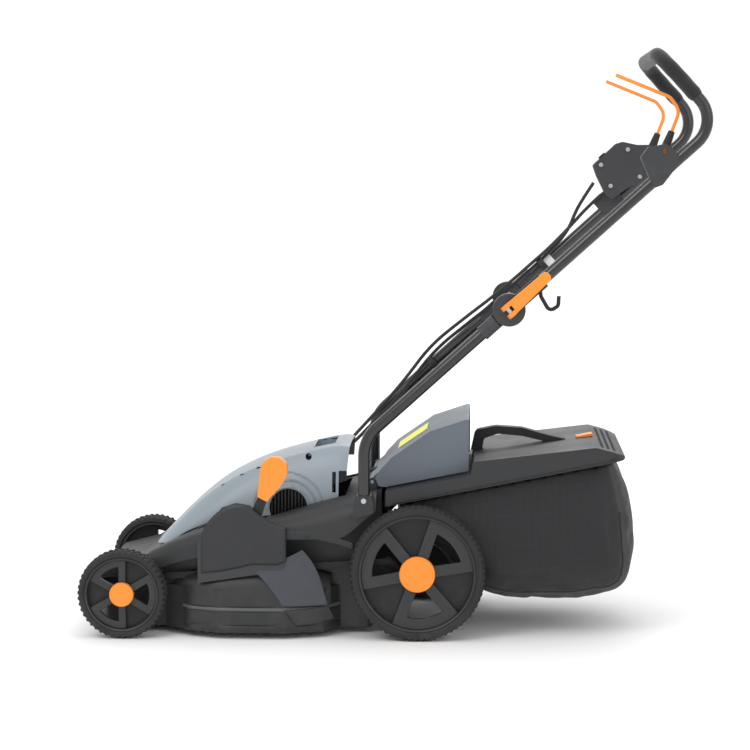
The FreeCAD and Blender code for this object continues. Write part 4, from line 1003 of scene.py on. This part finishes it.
# rows of (x, distance from the centre plane, height), front to rear, each row from low to high
SHOULDER_ROWS = [
    [(86, 152, 61), (86, 152, 80), (87, 150, 98), (88, 142, 108), (90, 128, 112)],
    [(104, 181, 61), (104, 181, 82), (104, 176, 100), (104, 162, 111), (104, 136, 116)],
    [(122, 203, 61), (122, 203, 84), (122, 197, 103), (122, 178, 115), (122, 142, 119)],
    [(150, 214, 61), (150, 214, 86), (150, 208, 106), (150, 188, 119), (150, 148, 123)],
    [(184, 221, 61), (184, 221, 90), (184, 215, 109), (184, 194, 122), (184, 150, 127)],
    [(236, 222.4, 61), (236, 222.4, 94), (236, 216, 113), (236, 196, 127), (236, 150, 131)],
    [(292, 221.4, 61), (292, 221.2, 94), (292, 214, 114), (292, 194, 127), (292, 150, 131)],
    [(340, 209, 61), (340, 209, 92), (340, 203, 112), (340, 184, 124), (340, 150, 128)],
    [(386, 184, 61), (386, 184, 86), (386, 178, 102), (386, 164, 112), (386, 146, 116)]]
WING_ROWS = [
    [(298, 222.6, 63), (287, 222.9, 82), (266, 221, 108), (252, 217, 122), (236, 213.5, 134)],
    [(312, 222.4, 63), (306, 222.6, 84), (292, 219.5, 112), (280, 216.5, 128), (266, 213.5, 142)],
    [(344, 217, 63), (340, 217.5, 88), (332, 216, 116), (322, 214.5, 134), (308, 213.5, 152)],
    [(381, 203, 63), (374, 203.5, 90), (364, 202, 124), (350, 202, 148), (334, 203, 166)]]
FOOT_ROWS = [
    [(324, 220.6, 27), (313, 221.4, 42), (302, 222.6, 56)],
    [(342, 216.6, 28), (332, 217.8, 43), (322, 220.0, 56)],
    [(366, 208.0, 31), (358, 210.0, 45), (350, 213.0, 57)],
    [(393, 192.0, 36), (388, 196.0, 48), (383, 201.0, 59)]]
FRONT_ROWS = [
    [(44, 183, 112), (42, 183, 130), (42, 178, 146), (42, 164, 153), (42, 146, 152)],
    [(70, 184, 128), (70, 184, 146), (70, 179, 162), (70, 165, 168), (70, 146, 167)],
    [(104, 194, 140), (104, 194, 160), (104, 189, 177), (104, 172, 184), (104, 146, 183)],
    [(146, 204, 150), (146, 204, 172), (146, 199, 190), (146, 180, 199), (146, 146, 200)]]
REAR_ROWS = [
    [(262, 200, 186), (262, 200, 206), (262, 194, 216), (262, 176, 220), (262, 146, 218)],
    [(300, 204, 196), (300, 204, 208), (300, 196, 218), (300, 176, 226), (300, 146, 228)],
    [(345, 205, 196), (345, 205, 210), (345, 196, 224), (345, 176, 238), (345, 146, 243)],
    [(400, 205, 176), (400, 205, 212), (400, 197, 238), (400, 178, 254), (400, 146, 258)],
    [(440, 204, 214), (440, 204, 232), (440, 198, 248), (440, 180, 262), (440, 146, 266)],
    [(470, 198, 238), (470, 198, 246), (470, 192, 256), (470, 178, 266), (470, 146, 272)]]


def body_skin(name, side, rows, material):
    """A curved body panel from rows of points, smoothed, with a wall's thickness."""
    bm = bmesh.new()
    grid = [[bm.verts.new(at(x, side * y, z)) for x, y, z in row] for row in rows]
    skinned(bm, grid)
    obj = piece(name, bm, material, "root", "deck_plastic", angle=180)
    smooth = obj.modifiers.new("Smooth", "SUBSURF")
    smooth.levels = smooth.render_levels = 3
    smooth.boundary_smooth = "PRESERVE_CORNERS"
    wall = obj.modifiers.new("Wall", "SOLIDIFY")
    wall.thickness = 0.003
    wall.offset = -1.0
    rounded(obj, 0.0012, 3, 50)
    return obj


def label_plate(name, corners, material, body, slot, lift=0.0004):
    """A thin blank sticker with rounded corners on a flat place."""
    bm = bmesh.new()
    face = bm.faces.new([bm.verts.new(c) for c in corners])
    bm.normal_update()
    out = face.normal.copy()
    bmesh.ops.bevel(bm, geom=list(bm.verts), offset=0.002, affect="VERTICES", segments=4, profile=0.5,
                    material=-1)
    bmesh.ops.translate(bm, verts=bm.verts, vec=out * lift)
    pushed(bm, list(bm.faces), -out * lift * 0.8)
    return piece(name, bm, material, body, slot)


# ------------------------------------------------------------------ grass catcher

BAG_X, BAG_Z = 740, 205  # middle of the bag in side view, in millimetres
BAG_OUTLINE = [(505, 252), (505, 178), (520, 171), (576, 167), (640, 99), (690, 77), (752, 69),
               (814, 69), (886, 79),
               (928, 94), (944, 130), (942, 190), (938, 240), (912, 330), (900, 331)]


def bag_shell():
    """The bag's skin before it sags: a rounded box swept across, open under the lid."""
    half = 179.0
    shares = [-1.0, -0.99, -0.94, -0.82, -0.6, -0.3, 0.0, 0.3, 0.6, 0.82, 0.94, 0.99, 1.0]
    bm = bmesh.new()
    rows = []
    path = smooth_outline(BAG_OUTLINE, 5, closed=False) + [BAG_OUTLINE[-1]]
    for share in shares:
        pull = 1.0 - 0.10 * max(0.0, abs(share) - 0.82) / 0.18
        row = []
        for x, z in path:
            sx = BAG_X + (x - BAG_X) * (pull if x > 620 else 1.0)
            sz = BAG_Z + (z - BAG_Z) * (pull if z < BAG_Z else 1.0)
            row.append(bm.verts.new(at(sx, half * share, sz)))
        rows.append(row)
    skinned(bm, rows)
    for row in (rows[0], rows[-1]):
        bm.faces.new(row)
    mouth = [r[0] for r in rows]
    lid_end = [r[-1] for r in rows]
    for k in range(len(rows) - 1):
        bm.faces.new((mouth[k], mouth[k + 1], lid_end[k + 1], lid_end[k]))
    bmesh.ops.recalc_face_normals(bm, faces=bm.faces)
    return bm


def swollen(obj, cap, frames=20, pressure=4.0):
    """Swells a closed skin with cloth simulation, no point moving further than the cap."""
    before = [v.co.copy() for v in obj.data.vertices]
    cloth = obj.modifiers.new("Cloth", "CLOTH")
    cloth.settings.quality = 5
    cloth.settings.mass = 0.25
    cloth.settings.tension_stiffness = 18
    cloth.settings.compression_stiffness = 12
    cloth.settings.bending_stiffness = 0.4
    cloth.settings.use_pressure = True
    cloth.settings.uniform_pressure_force = pressure
    cloth.settings.effector_weights.gravity = 0.0
    cloth.point_cache.frame_start = 1
    cloth.point_cache.frame_end = frames
    scene = bpy.context.scene
    for frame_number in range(1, frames + 1):
        scene.frame_set(frame_number)
    shown = obj.evaluated_get(bpy.context.evaluated_depsgraph_get())
    moved = [v.co.copy() for v in shown.data.vertices]
    obj.modifiers.clear()
    scene.frame_set(1)
    for vert, start, end in zip(obj.data.vertices, before, moved):
        step = end - start
        vert.co = start + step * min(1.0, cap / max(step.length, 1e-9))
    return obj


def bag_wrinkle(spot):
    """Depth of the mesh's soft folds at a place: they run down from the lid and gather low at the front."""
    x, z = spot.x - FRONT_AXLE_X, spot.z
    down = math.sin((x * 58.0 + z * 21.0) + 2.2 * math.sin(z * 19.0)) * 0.5
    cross = math.sin(z * 74.0 - x * 33.0 + 1.4 * math.sin(x * 27.0)) * 0.35
    gather = math.sin(x * 140.0 + z * 90.0 + 1.7 * math.sin(z * 60.0)) * 0.25
    near_front = max(0.0, min(1.0, (0.70 - x) / 0.12))
    return down * 0.0022 + cross * 0.0016 + gather * 0.0012 * (0.4 + near_front)


def bag():
    """The mesh bag: cloth pressed out between its seams, wrinkled and sagging below the lid."""
    skin = loose("bag_skin", bag_shell())
    remesh = skin.modifiers.new("Voxels", "REMESH")
    remesh.mode = "VOXEL"
    remesh.voxel_size = 0.006
    apply_modifiers(skin)
    swollen(skin, 0.006)
    low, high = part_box("catcher_bag")
    low, high = Vector(low) - Vector((0.0, 0.0015, 0.0015)), Vector(high) + Vector((0.0015, 0.0015, 0.0))
    bm = opened(skin.data)
    bpy.data.objects.remove(skin)
    bm.normal_update()
    normals = [v.normal.copy() for v in bm.verts]
    for vert, normal in zip(bm.verts, normals):
        soft = bag_wrinkle(vert.co)
        fade = max(0.0, min(1.0, (rim_height(vert.co.x) - vert.co.z - 0.012) / 0.05))
        vert.co += normal * (soft * fade - 0.0012)
        for axis in range(3):
            vert.co[axis] = max(low[axis], min(high[axis], vert.co[axis]))
    for _ in range(2):
        bmesh.ops.smooth_vert(bm, verts=bm.verts, factor=0.35, use_axis_x=True, use_axis_y=True,
                              use_axis_z=True)
    mouth_x = at(509, 0, 0).x
    doomed = []
    for face in bm.faces:
        spot = face.calc_center_median()
        in_mouth = spot.x < mouth_x and abs(spot.y) < 0.112 and spot.z > 0.186
        if in_mouth or spot.z > rim_height(spot.x) - 0.004:
            doomed.append(face)
    bmesh.ops.delete(bm, geom=doomed, context="FACES")
    bmesh.ops.delete(bm, geom=[v for v in bm.verts if not v.link_faces], context="VERTS")
    project_uv(bm)
    obj = piece("catcher_mesh_bag", bm, finish_for("mesh_fabric"), "catcher", "mesh_fabric",
                "catcher_bag", angle=180)
    wall = obj.modifiers.new("Cloth thickness", "SOLIDIFY")
    wall.thickness = 0.0009
    wall.offset = -1.0
    return obj


def rim_height(x):
    """Height of the lid's rim over a place along the catcher."""
    return (245.0 + math.tan(math.radians(11.3)) * ((x - FRONT_AXLE_X) * 1000 - 486.0)) / 1000


def project_uv(bm):
    """Metres as UV, each face laid flat along its main direction."""
    layer = bm.loops.layers.uv.new("UVMap")
    for face in bm.faces:
        normal = face.normal
        flat = max(range(3), key=lambda a: abs(normal[a]))
        first, second = [a for a in range(3) if a != flat]
        for corner in face.loops:
            corner[layer].uv = (corner.vert.co[first], corner.vert.co[second])


def seam(name, points, radius, material, body, slot):
    """A bound seam or piping along a smooth line."""
    bm = opened(curve_mesh(name, points, radius, "NURBS", 4))
    return piece(name, bm, material, body, slot, angle=60.0)


def catcher_trim():
    """Piping round the bag's ends and the line between the lid's two bands."""
    binding = moulded("bag_binding", paint("141416"), 0.7, 1.0, 0.0002, 0.2, 0.1, 0.1)
    bag_path = smooth_outline(BAG_OUTLINE[2:13], 8, closed=False)
    cloth = bpy.data.objects["catcher_mesh_bag"]
    for side, word in ((-1, "left"), (1, "right")):
        route = []
        for x, z in bag_path:
            near = at(BAG_X + (x - BAG_X) * 0.93, side * 170.0,
                      BAG_Z + (z - BAG_Z) * (0.93 if z < BAG_Z else 1.0))
            route.append(cloth.closest_point_on_mesh(near)[1])
        seam("bag_piping_" + word, route, 0.0017, binding, "catcher", "mesh_fabric")
    band = [at(500, 0, 251.5), at(924, 0, 336.3)]
    for side, word in ((-1, "left"), (1, "right")):
        route = [Vector((p.x, side * 0.1899, p.z)) for p in band]
        tube_curve("lid_bead_" + word, route, 0.0016, finish_for("black_plastic"), "catcher",
                   "black_plastic")


# ------------------------------------------------------------------ handle, grip and cables


SLEEVE_END = 32.0  # millimetres from the fold to where a tube leaves its hinge sleeve


def handle_line():
    """Corner points and corner radii of the upper handle's tube."""
    bend = at(1090.4, -200, 950.8)
    corner = at(979.0, -200, 1072.0)
    start = on_tube(SLEEVE_END, -200)
    left = [start, bend, corner]
    right = [Vector((p.x, -p.y, p.z)) for p in reversed(left)]
    return left + right, [0.055, 0.045, 0.045, 0.055]


def handle_tubes():
    finish = finish_for("tube_paint")
    points, radii = handle_line()
    tube_curve("upper_handle_tube", points, TUBE_R - 0.0001, finish, "handle", "tube_paint", "upper_handle",
               corner=radii)
    sleeve = moulded("white_label", paint("e4e4e2"), 0.5, 0.8, 0.00004, 0.05, 0.05, 0.0)
    label = [on_tube(98.0, 200), on_tube(118.0, 200)]
    tube_curve("tube_label", label, TUBE_R + 0.0003, sleeve, "handle", "black_plastic")
    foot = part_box("lower_tubes")[0].z
    upright = at(448, 0, 0).x
    drop = FOLD.z - math.tan(TUBE_ANGLE) * (FOLD.x - upright)
    for side, word in ((-1, "left"), (1, "right")):
        route = [Vector((upright, side * TUBE_Y, foot)), Vector((upright, side * TUBE_Y, drop)),
                 on_tube(-SLEEVE_END, side * 200)]
        tube_curve("lower_tube_" + word, route, TUBE_R - 0.0001, finish, "root", "tube_paint",
                   "lower_tubes",
                   corner=[0.070])


def grip():
    """Foam sleeve over the top bar: slightly uneven, rolled at its two ends."""
    points = handle_line()[0]
    lean = (points[2] - points[1]).normalized()
    start = points[1] + lean * 0.062
    end = Vector((start.x, -start.y, start.z))
    path = arc_path([start, points[2], points[3], end], [0.045, 0.045], 12)
    spaced = [path[0]]
    for a, b in zip(path, path[1:]):
        pieces = max(1, int((b - a).length / 0.008))
        spaced += [a.lerp(b, k / pieces) for k in range(1, pieces + 1)]
    total = sum((b - a).length for a, b in zip(spaced, spaced[1:]))
    bm = bmesh.new()
    sides = 32
    run = 0.0
    previous = None
    rings = []
    for index, spot in enumerate(spaced):
        ahead = spaced[min(index + 1, len(spaced) - 1)] - spaced[max(index - 1, 0)]
        tangent = ahead.normalized()
        upward = Vector((0, 1, 0)) if abs(tangent.y) < 0.7 else Vector((0, 0, 1))
        across = tangent.cross(upward).normalized() if index == 0 or previous is None else \
            (previous - tangent * previous.dot(tangent)).normalized()
        previous = across
        over = tangent.cross(across)
        if index:
            run += (spot - spaced[index - 1]).length
        edge = min(run, total - run)
        roll = min(1.0, edge / 0.004)
        ring = []
        for k in range(sides):
            turn = math.tau * k / sides
            soft = 0.00022 * math.sin(run * 210 + 2 * turn) + 0.00016 * math.sin(run * 95 + 3 * turn + 1.0)
            reach = 0.0136 - 0.0018 * (1 - math.sqrt(1 - (1 - roll) ** 2)) + soft * roll
            out = across * math.cos(turn) * reach
            ring.append(bm.verts.new(spot + out + over * math.sin(turn) * reach))
        rings.append(ring)
    for a, b in zip(rings, rings[1:]):
        for k in range(sides):
            bm.faces.new((a[k], a[(k + 1) % sides], b[(k + 1) % sides], b[k]))
    bm.faces.new(rings[0])
    bm.faces.new(rings[-1])
    foam = piece("grip_foam_sleeve", bm, finish_for("foam"), "handle", "foam", "grip_foam", angle=50)


def cam_levers():
    """Folding-handle hardware: hinge discs, bolts and the two quick-release levers."""
    for name in ("lower_hinge_discs", "upper_hinge_discs"):
        refined(name, edge=0.0012)
    refined("hinge_bolts", edge=0.0004, segments=2)
    for name in ("left_cam_lever", "right_cam_lever"):
        refined(name, edge=0.0016, segments=4)


CABLE_R = 0.0034
# cable points in millimetres; low by the fold the second run stands up to 8 mm outboard of the frame's own
UPPER_ROUTES = {
    "first": [(881, 176, 838), (864, 178, 812), (847, 182, 783), (834, 187, 748), (812, 190, 718),
              (783, 186, 689), (752, 180, 661), (730, 175, 641)],
    "second": [(896, 184, 814), (868, 186, 788), (840, 187, 756), (818, 182, 733), (790, 180, 705),
               (760, 175, 679), (734, 169, 656), (721, 166, 645)]}
LOWER_ROUTES = {
    "first": [(730, 175, 641), (690, 173, 603), (655, 175, 576), (618, 180, 546), (586, 183, 520),
              (557, 184, 490), (532, 180, 458), (506, 170, 424), (474, 160, 388), (442, 144, 358),
              (420, 112, 336), (402, 84, 322)],
    "second": [(721, 166, 645), (682, 163, 612), (648, 165, 586), (610, 168, 556), (577, 174, 529),
               (548, 175, 499), (522, 170, 464), (495, 162, 430), (464, 151, 396), (434, 134, 364),
               (412, 102, 342), (396, 74, 326)]}


def cables():
    """Two motor cables from the switch box to the hood, each bending at the handle's fold."""
    for word in ("first", "second"):
        route = [at(*p) for p in UPPER_ROUTES[word]] + [at(*p) for p in LOWER_ROUTES[word][1:]]
        mesh = curve_mesh(word + "_cable", route, CABLE_R, "NURBS", 5)
        for face in mesh.polygons:
            face.use_smooth = True
        mesh.materials.append(finish_for("cable"))
        obj = bpy.data.objects.new(word + "_motor_cable", mesh)
        bpy.context.scene.collection.objects.link(obj)
        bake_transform(obj)
        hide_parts("upper_cables", "lower_cables")


# ------------------------------------------------------------------ stage


SWEEP_START, SWEEP_R = 2.0, 3.0  # where the floor begins to curve up, and the radius of the curve
# name, place, aim, size and power in watts
LIGHTS = (("key", (-1.6, -2.6, 3.0), (0, 0, 0.3), 1.8, 34),
          ("fill", (2.8, -2.4, 1.8), (0, 0, 0.4), 2.2, 12),
          ("back", (0.4, 3.0, 2.8), (0, 0, 0.5), 2.0, 26), ("top", (0.0, 0.0, 3.6), (0, 0, 0), 2.6, 16))


def stage():
    """Pale floor that sweeps up behind the mower, soft studio lights and the camera."""
    world = bpy.data.worlds.new("Studio")
    bpy.context.scene.world = world
    world.use_nodes = True
    world.node_tree.nodes["Background"].inputs[0].default_value = (1.0, 1.0, 1.0, 1)
    world.node_tree.nodes["Background"].inputs[1].default_value = 0.95
    bm = bmesh.new()
    profile = [(-9.0, 0.0), (SWEEP_START, 0.0)]
    for angle in range(6, 91, 6):
        turn = math.radians(angle)
        profile.append((SWEEP_START + SWEEP_R * math.sin(turn), SWEEP_R - SWEEP_R * math.cos(turn)))
    profile.append((SWEEP_START + SWEEP_R, 9.0))
    rows = [[bm.verts.new((x, y, z)) for y, z in profile] for x in (-9.0, 9.0)]
    for k in range(len(profile) - 1):
        bm.faces.new((rows[0][k], rows[1][k], rows[1][k + 1], rows[0][k + 1]))
    for face in bm.faces:
        face.smooth = True
    mesh = bpy.data.meshes.new("floor")
    bm.to_mesh(mesh)
    bm.free()
    floor = bpy.data.objects.new("floor", mesh)
    bpy.context.scene.collection.objects.link(floor)
    made, _, shader = blank("studio_floor")
    shader.inputs["Base Color"].default_value = (0.97, 0.97, 0.97, 1)
    shader.inputs["Roughness"].default_value = 0.85
    floor.data.materials.append(made)
    for name, where, aim, size, power in LIGHTS:
        data = bpy.data.lights.new(name, "AREA")
        data.shape = "DISK"
        data.size = size
        data.energy = power
        lamp = bpy.data.objects.new(name + "_light", data)
        lamp.location = where
        lamp.rotation_euler = (Vector(aim) - Vector(where)).to_track_quat("-Z", "Y").to_euler()
        bpy.context.scene.collection.objects.link(lamp)
    data = bpy.data.cameras.new("camera")
    data.lens = 110.2
    data.sensor_width = 36.0
    camera = bpy.data.objects.new("camera", data)
    camera.location = (0.1796, -4.3828, 0.8853)
    camera.rotation_euler = (math.pi / 2 - 0.094, 0.0, 0.05)
    bpy.context.scene.collection.objects.link(camera)
    bpy.context.scene.camera = camera
    bpy.context.scene.view_settings.view_transform = "Standard"


# ------------------------------------------------------------------ operators


class MowerOperator(bpy.types.Operator):
    """Base of the operators that build one group of pieces each"""
    bl_options = {"REGISTER", "UNDO"}


class MOWER_OT_wheels(MowerOperator):
    """Build the four wheels with tread, spokes and hub caps"""
    bl_idname = "mower.wheels"
    bl_label = "Wheels"

    def execute(self, context):
        for word, side in (("left", -1), ("right", 1)):
            wheel("front_" + word, side, 0.069, 0.017, 0.0225, (0, 120, 240), 46)
            wheel("rear_" + word, side, 0.108, 0.022, 0.033, (40, 160, 280), 68)
        return {"FINISHED"}


class MOWER_OT_deck(MowerOperator):
    """Build the deck with its skirt bands and flank wings"""
    bl_idname = "mower.deck"
    bl_label = "Deck"

    def execute(self, context):
        refined("deck", edge=0.0022, segments=3)
        refined("side_covers", edge=0.0026, segments=4)
        refined("deck_screws", edge=0.0005, segments=2)
        refined("flap_pin", edge=0.0004, segments=2)
        deck_trim()
        return {"FINISHED"}


class MOWER_OT_hood(MowerOperator):
    """Build the motor hood with its vents, louvres and carry well"""
    bl_idname = "mower.hood"
    bl_label = "Motor Hood"

    def execute(self, context):
        motor_hood()
        return {"FINISHED"}


class MOWER_OT_height(MowerOperator):
    """Build the height lever, link rod and crank axles"""
    bl_idname = "mower.height"
    bl_label = "Height Setting"

    def execute(self, context):
        refined("height_knob", edge=0.003, segments=5)
        stem = finish_for("black_plastic")
        refined("height_lever", material=stem, edge=0.0008)
        black = metal("blackened_steel", paint("2b2c2e"), 0.42, 0.3, 0.7)
        for name in ("link_rod", "front_axle", "rear_axle"):
            refined(name, material=black, edge=0.0006, segments=2)
        for name in ("front_wheel_nuts", "rear_wheel_nuts"):
            refined(name, edge=0.0005, segments=2)
        return {"FINISHED"}


class MOWER_OT_motor(MowerOperator):
    """Build the motor, cooling fan, shaft and blade"""
    bl_idname = "mower.motor"
    bl_label = "Motor and Blade"

    def execute(self, context):
        for name in ("motor_case", "motor_stator", "motor_bearings", "rotor_shaft", "cooling_fan",
                     "blade_carrier"):
            refined(name, edge=0.0006, segments=2)
        for name in ("blade", "blade_bolt"):
            refined(name, edge=0.0005, segments=2)
        return {"FINISHED"}


class MOWER_OT_flap(MowerOperator):
    """Build the sprung rear flap and its blank label"""
    bl_idname = "mower.flap"
    bl_label = "Rear Flap"

    def execute(self, context):
        tint = context.scene.mower_colours
        refined("rear_flap", edge=0.0024, segments=4)
        yellow = moulded("label_film", tint.label, 0.35, 0.6, 0.00001, 0.05, 0.0, 0.0)
        corners = [at(505, -60, 338.6), at(505, 40, 338.6), at(560, 40, 376.6), at(560, -60, 376.6)]
        label_plate("flap_label", corners, yellow, "flap", "flap_plastic", 0.0012)
        return {"FINISHED"}


class MOWER_OT_catcher(MowerOperator):
    """Build the grass catcher's lid, mesh bag, hoop, handle and indicator"""
    bl_idname = "mower.catcher"
    bl_label = "Grass Catcher"

    def execute(self, context):
        refined("catcher_top", edge=0.0024, segments=4)
        refined("catcher_frame", edge=0.0003, segments=2)
        refined("catcher_handle", edge=0.004, segments=5)
        refined("fill_indicator", edge=0.0008, segments=2)
        bag()
        catcher_trim()
        return {"FINISHED"}


class MOWER_OT_handle(MowerOperator):
    """Build the folding handle, its hinges, cam levers and foam grip"""
    bl_idname = "mower.handle"
    bl_label = "Folding Handle"

    def execute(self, context):
        handle_tubes()
        grip()
        cam_levers()
        for name in ("cord_hook", "upper_cable_clip", "lower_cable_clip"):
            refined(name, edge=0.0012, segments=3)
        return {"FINISHED"}


class MOWER_OT_switch(MowerOperator):
    """Build the switch box, bracket, switch levers and boots"""
    bl_idname = "mower.switch"
    bl_label = "Switch Box"

    def execute(self, context):
        for name in ("left_bracket", "switch_box_inner", "switch_box_outer"):
            refined(name, edge=0.0022, segments=4)
        refined("switch_levers", edge=0.0004, segments=2)
        refined("lever_boots", edge=0.0006, segments=2)
        refined("lock_button", edge=0.0012, segments=3)
        refined("micro_switch", edge=0.0008, segments=2)
        refined("switch_box_screws", edge=0.0004, segments=2)
        return {"FINISHED"}


class MOWER_OT_cables(MowerOperator):
    """Build the two motor cables that bend at the fold"""
    bl_idname = "mower.cables"
    bl_label = "Cables"

    def execute(self, context):
        cables()
        return {"FINISHED"}


class MOWER_OT_stage(MowerOperator):
    """Build the floor, lights and camera"""
    bl_idname = "mower.stage"
    bl_label = "Stage"

    def execute(self, context):
        stage()
        return {"FINISHED"}


BUILDERS = (MOWER_OT_stage, MOWER_OT_wheels, MOWER_OT_deck, MOWER_OT_hood, MOWER_OT_height, MOWER_OT_motor,
            MOWER_OT_flap, MOWER_OT_catcher, MOWER_OT_handle, MOWER_OT_switch, MOWER_OT_cables)


class MOWER_PT_panel(bpy.types.Panel):
    """Sidebar panel with the mower's colours, sizes and builders"""
    bl_idname = "MOWER_PT_panel"
    bl_label = "Lawn Mower"
    bl_space_type = "VIEW_3D"
    bl_region_type = "UI"
    bl_category = "Mower"

    def draw(self, context):
        for group_of in (context.scene.mower_colours, context.scene.mower_sizes):
            for prop in group_of.__annotations__:
                self.layout.prop(group_of, prop)
        for builder in BUILDERS:
            self.layout.operator(builder.bl_idname)


CLASSES = (MowerColours, MowerSizes, *BUILDERS, MOWER_PT_panel)


def register():
    for made in CLASSES:
        bpy.utils.register_class(made)
    bpy.types.Scene.mower_colours = bpy.props.PointerProperty(type=MowerColours)
    bpy.types.Scene.mower_sizes = bpy.props.PointerProperty(type=MowerSizes)


def unregister():
    del bpy.types.Scene.mower_colours
    del bpy.types.Scene.mower_sizes
    for made in reversed(CLASSES):
        bpy.utils.unregister_class(made)


def main():
    register()
    bpy.ops.mower.stage()
    bpy.ops.mower.wheels()
    bpy.ops.mower.deck()
    bpy.ops.mower.hood()
    bpy.ops.mower.height()
    bpy.ops.mower.motor()
    bpy.ops.mower.flap()
    bpy.ops.mower.catcher()
    bpy.ops.mower.handle()
    bpy.ops.mower.switch()
    bpy.ops.mower.cables()


if __name__ == "__main__":
    main()
